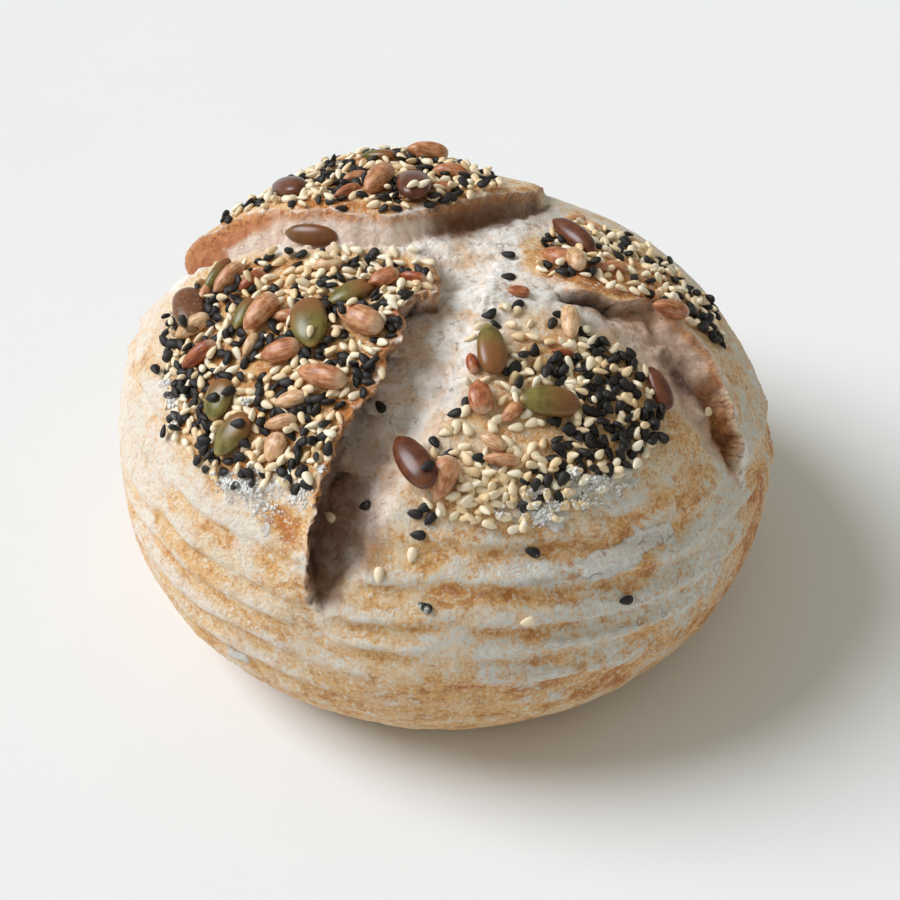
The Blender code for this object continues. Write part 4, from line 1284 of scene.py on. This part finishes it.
def on_large_seed(spot, large):
    """True where a place lies on one of the large seeds, or close beside it."""
    for inward, half_length, half_width in large:
        near = inward @ spot
        if abs(near.z) < SEED_HEADROOM:
            if (near.x / (half_length + SEED_MARGIN)) ** 2 + (near.y / (half_width + SEED_MARGIN)) ** 2 < 1:
                return True
    return False


def dark_share(patch, u, v):
    """How much of a patch's sesame is black at map points."""
    clumps = 0.34 * noise(u, v, 5, 72) + 0.16 * noise(u, v, 2.5, 73)
    if patch == "front":
        return 0.16 + 0.52 * smooth(12, 32, u + 0.35 * (v + 40)) + 0.8 * clumps
    if patch == "right":
        return 0.3 + 0.15 * smooth(44, 60, u) + clumps
    if patch == "back":
        return 0.32 + clumps
    return 0.42 + clumps


# Least distance between sesame seeds where they lie densest, and how much wider it is elsewhere
PATCH_LOOKS = {"front_left": (1.64, 0.24), "back": (1.72, 0.21), "right": (1.84, 0.48), "front": (1.66, 0.75)}
NEIGHBOUR_CELL = 4
PLACING_TRIES = 12000

# Mean length of a scattered sesame seed and its spread, least and greatest width of black and cream
# ones against their kind's own, and their thickness likewise
SESAME_LENGTH = (3.2, 0.24)
BLACK_WIDTHS = (0.98, 1.18)
CREAM_WIDTHS = (0.84, 1.02)
SESAME_THICKNESS = 1.05

# What starts the random draws of places on the map, of the sesame seeds and of the flour clumps
PLACE_DRAWS = 7
SESAME_DRAWS = 5
FLOUR_DRAWS = 11

# Two layers of seeds, the upper one sparser: spacing, lift, tilt and the barest place that has seeds
SEED_LAYERS = [(1, 0.3, 0.3, 0.99), (1.55, 1.15, 0.45, 0.52)]


def bareness(patch, u, v):
    """How thinly the seeds lie in a patch, from 0 to 1."""
    thin = 0.34 + 0.7 * noise(u, v, 9, 77) + 0.45 * noise(u, v, 4, 78)
    if patch == "front":
        thin = thin + 0.75 * smooth(22, 6, u + 0.2 * (v + 40)) - 0.6 * smooth(22, 32, u)
        thin = thin - 0.7 * smooth(-44, -54, v)
    return np.clip(thin, 0, 1)


def lay_sesame(tree, spot, normal, draw, layer, dark, dust, pile):
    """Lay one small seed, turned, tilted and sized by chance."""
    _, layer_lift, layer_pitch, _ = layer
    normal = smooth_normal(tree, spot, normal, 1.6)
    turn = draw.uniform(0, 2 * math.pi)
    forward = Vector((math.cos(turn), math.sin(turn), 0))
    lift = layer_lift + 0.6 * draw.random() - 2.6 * dust
    roll = draw.gauss(0, 0.5)
    pitch = draw.gauss(0, layer_pitch)
    length = draw.gauss(*SESAME_LENGTH)
    matrix = seed_matrix(spot, normal, forward, lift, roll, pitch)
    width = draw.uniform(*(BLACK_WIDTHS if dark else CREAM_WIDTHS))
    size = (length, length * width, length * SESAME_THICKNESS)
    pile.add(matrix, size, draw.random(), dust + 0.16 * draw.random())


def crowded(cells, place, room):
    """True where a place on the map lies closer than room to a seed in the cells round it."""
    column, row = (int(part // NEIGHBOUR_CELL) for part in place)
    return any(
        math.dist(place, other) < room
        for across in (-1, 0, 1) for along in (-1, 0, 1)
        for other in cells.get((column + across, row + along), [])
    )


def scatter_sesames(tree, cream, black, large):
    """Cover the seeded patches with sesame, thinner towards their edges."""
    draw = random.Random(SESAME_DRAWS)
    spots = np.random.default_rng(PLACE_DRAWS)
    for patch, outline in SEEDED.items():
        spacing, widening = PATCH_LOOKS[patch]
        low_u, low_v = np.min(outline, axis=0) - 2
        high_u, high_v = np.max(outline, axis=0) + 2
        for layer in SEED_LAYERS:
            wider, _, _, thinnest = layer
            u = spots.uniform(low_u, high_u, PLACING_TRIES)
            v = spots.uniform(low_v, high_v, PLACING_TRIES)
            edge = depth_inside(u, v, outline) + 1.8 * noise(u, v, 6, 71)
            thin = bareness(patch, u, v)
            wanted = (edge > 0) & (thin < thinnest)
            if patch in LOBES:
                wanted &= lobe_depth(patch, u, v) > 0.6
            rooms = spacing * wider * (1 + widening * thin + 0.4 * smooth(4, 0, edge))
            darks = dark_share(patch, u, v)
            dusts = 0.42 * heaps(u, v)
            on_seeds = (noise(u, v, 3.5, 79) > 0.78) & (wider < 1.5) & (patch != "front")
            cells = {}
            for pick in np.flatnonzero(wanted):
                place = (u[pick], v[pick])
                if crowded(cells, place, rooms[pick]):
                    continue
                spot, normal = surface_over_map(tree, *place)
                if spot is None or (not on_seeds[pick] and on_large_seed(spot, large)):
                    continue
                cell = tuple(int(part // NEIGHBOUR_CELL) for part in place)
                cells.setdefault(cell, []).append(place)
                dark = draw.random() < darks[pick]
                lay_sesame(tree, spot, normal, draw, layer, dark, dusts[pick], black if dark else cream)


def lay_lone_sesames(tree, places, pile):
    """Lay the small seeds that stand out one by one in the photograph."""
    for x, y, angle, *dust in places:
        spot, normal = surface_at_pixel(tree, x, y)
        if spot is None:
            continue
        normal = smooth_normal(tree, spot, normal, 1.2)
        matrix = seed_matrix(spot, normal, along_picture(spot, normal, x, y, angle), LONE_LIFT)
        pile.add(matrix, LONE_SIZE, LONE_TONE, dust[0] if dust else 0)


def clump_shape():
    """Corners and faces of one uneven crumb of flour about 1 across."""
    corners, faces, along, sides_round = seed_shape("clump")
    directions = corners / np.maximum(np.linalg.norm(corners, axis=1), 1e-9)[:, None]
    x, y, z = directions.T
    bumps = 0.6 * noise(2 * x + 5, 2 * y + 3 * z, 0.9, 81)
    return corners * (1 + bumps)[:, None], faces, along, sides_round


def pile_flour(tree, pile):
    """Heap small clumps of flour where the photograph shows them."""
    draw = random.Random(FLOUR_DRAWS)
    pile.shape = clump_shape()
    for x, y, spread, count in FLOUR_CLUMPS:
        for _ in range(count):
            right = draw.gauss(0, 0.55 * spread)
            down = draw.gauss(0, 0.45 * spread)
            spot, normal = surface_at_pixel(tree, x + right, y + down)
            turn = draw.uniform(0, 2 * math.pi)
            roll = draw.uniform(0, math.pi)
            size = 0.42 + 0.85 * draw.random() ** 2.5
            if spot is None:
                continue
            forward = Vector((math.cos(turn), math.sin(turn), 0.2))
            matrix = seed_matrix(spot, normal, forward, 0.15 * size, roll)
            pile.add(matrix, (size, size, 0.8 * size), draw.random(), 0)


def make_floor():
    """A plain pale floor."""
    paint = Paint("floor", 0.9)
    paint.finish(paint.mix(paint.noise(60, 3), (236, 238, 240), (239, 241, 243)))
    mesh = bpy.data.meshes.new("floor")
    signs = [(-1, -1), (1, -1), (1, 1), (-1, 1)]
    mesh.from_pydata([(FLOOR_HALF * x, FLOOR_HALF * y, 0) for x, y in signs], [], [(0, 1, 2, 3)])
    floor = add_piece("floor", mesh, paint.material)


def light_scene():
    """A wide soft window light from the left, and an even pale surround."""
    turn = math.radians(LIGHT_TURN)
    lean = math.radians(LIGHT_ELEVATION)
    source = Vector((-math.cos(turn) * math.cos(lean), math.sin(turn) * math.cos(lean), math.sin(lean)))
    light = bpy.data.lights.new("window", "SUN")
    light.energy = LIGHT_STRENGTH
    light.angle = math.radians(LIGHT_WIDTH)
    light.color = LIGHT_COLOUR
    lamp = bpy.data.objects.new("window", light)
    lamp.rotation_euler = source.to_track_quat("Z", "Y").to_euler()
    bpy.context.scene.collection.objects.link(lamp)
    world = bpy.data.worlds.new("surround")
    world.use_nodes = True
    background = world.node_tree.nodes["Background"]
    background.inputs["Color"].default_value = SURROUND_COLOUR
    background.inputs["Strength"].default_value = SURROUND_STRENGTH
    bpy.context.scene.world = world
    bpy.context.scene.view_settings.view_transform = "Standard"


def place_camera():
    """Look at the loaf as the photograph does."""
    camera = bpy.data.cameras.new("camera")
    camera.lens = PIXELS_PER_MM * CAMERA_DISTANCE * camera.sensor_width / FRAME_PIXELS
    camera.shift_x = (FRAME_PIXELS / 2 - LOAF_MIDDLE_PIXEL[0]) / FRAME_PIXELS
    camera.shift_y = (LOAF_MIDDLE_PIXEL[1] - FRAME_PIXELS / 2) / FRAME_PIXELS
    camera.clip_start = CLIP_START
    item = bpy.data.objects.new("camera", camera)
    start, _ = camera_ray(*LOAF_MIDDLE_PIXEL)
    item.location = start * MM
    item.rotation_euler = (math.radians(90 - CAMERA_ELEVATION), 0, 0)
    bpy.context.scene.collection.objects.link(item)
    bpy.context.scene.camera = item


def dress_loaf():
    """The loaf and its seeds, in place of the plain solid."""
    mesh = make_loaf_mesh()
    bread = add_piece("bread", mesh, bread_material())
    pumpkin, kernel, cream, black, flour = map(SeedPile, ("pumpkin", "kernel", "sesame", "sesame", "clump"))
    bare = tree_over(mesh, [])
    large = lay_large_seeds(bare, "pumpkin", PUMPKIN_SEEDS, pumpkin)
    large += lay_large_seeds(bare, "kernel", KERNELS, kernel)
    tree = tree_over(mesh, [pumpkin, kernel])
    scatter_sesames(tree, cream, black, large)
    lay_lone_sesames(tree, LONE_BLACK_SESAMES, black)
    lay_lone_sesames(tree, LONE_CREAM_SESAMES, cream)
    pile_flour(tree_over(mesh, [pumpkin, kernel, cream]), flour)
    cream_look = sesame_material("cream_sesame", (250, 241, 217), (238, 208, 160), (236, 233, 226), 0.42)
    black_look = sesame_material("black_sesame", (13, 12, 13), (36, 31, 28), (214, 214, 212), 0.55)
    for piece, slot in (
        (bread, "crust"),
        (pumpkin.piece("pumpkin_seeds", pumpkin_material()), "pumpkin_seed"),
        (kernel.piece("kernels", kernel_material()), "kernel"),
        (cream.piece("pale_sesame", cream_look), "pale_sesame"),
        (black.piece("dark_sesame", black_look), "dark_sesame"),
        (flour.piece("flour_clumps", flour_material()), "crust"),
    ):
        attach(piece, "root")
    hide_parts("loaf")


dress_loaf()
make_floor()
light_scene()
place_camera()
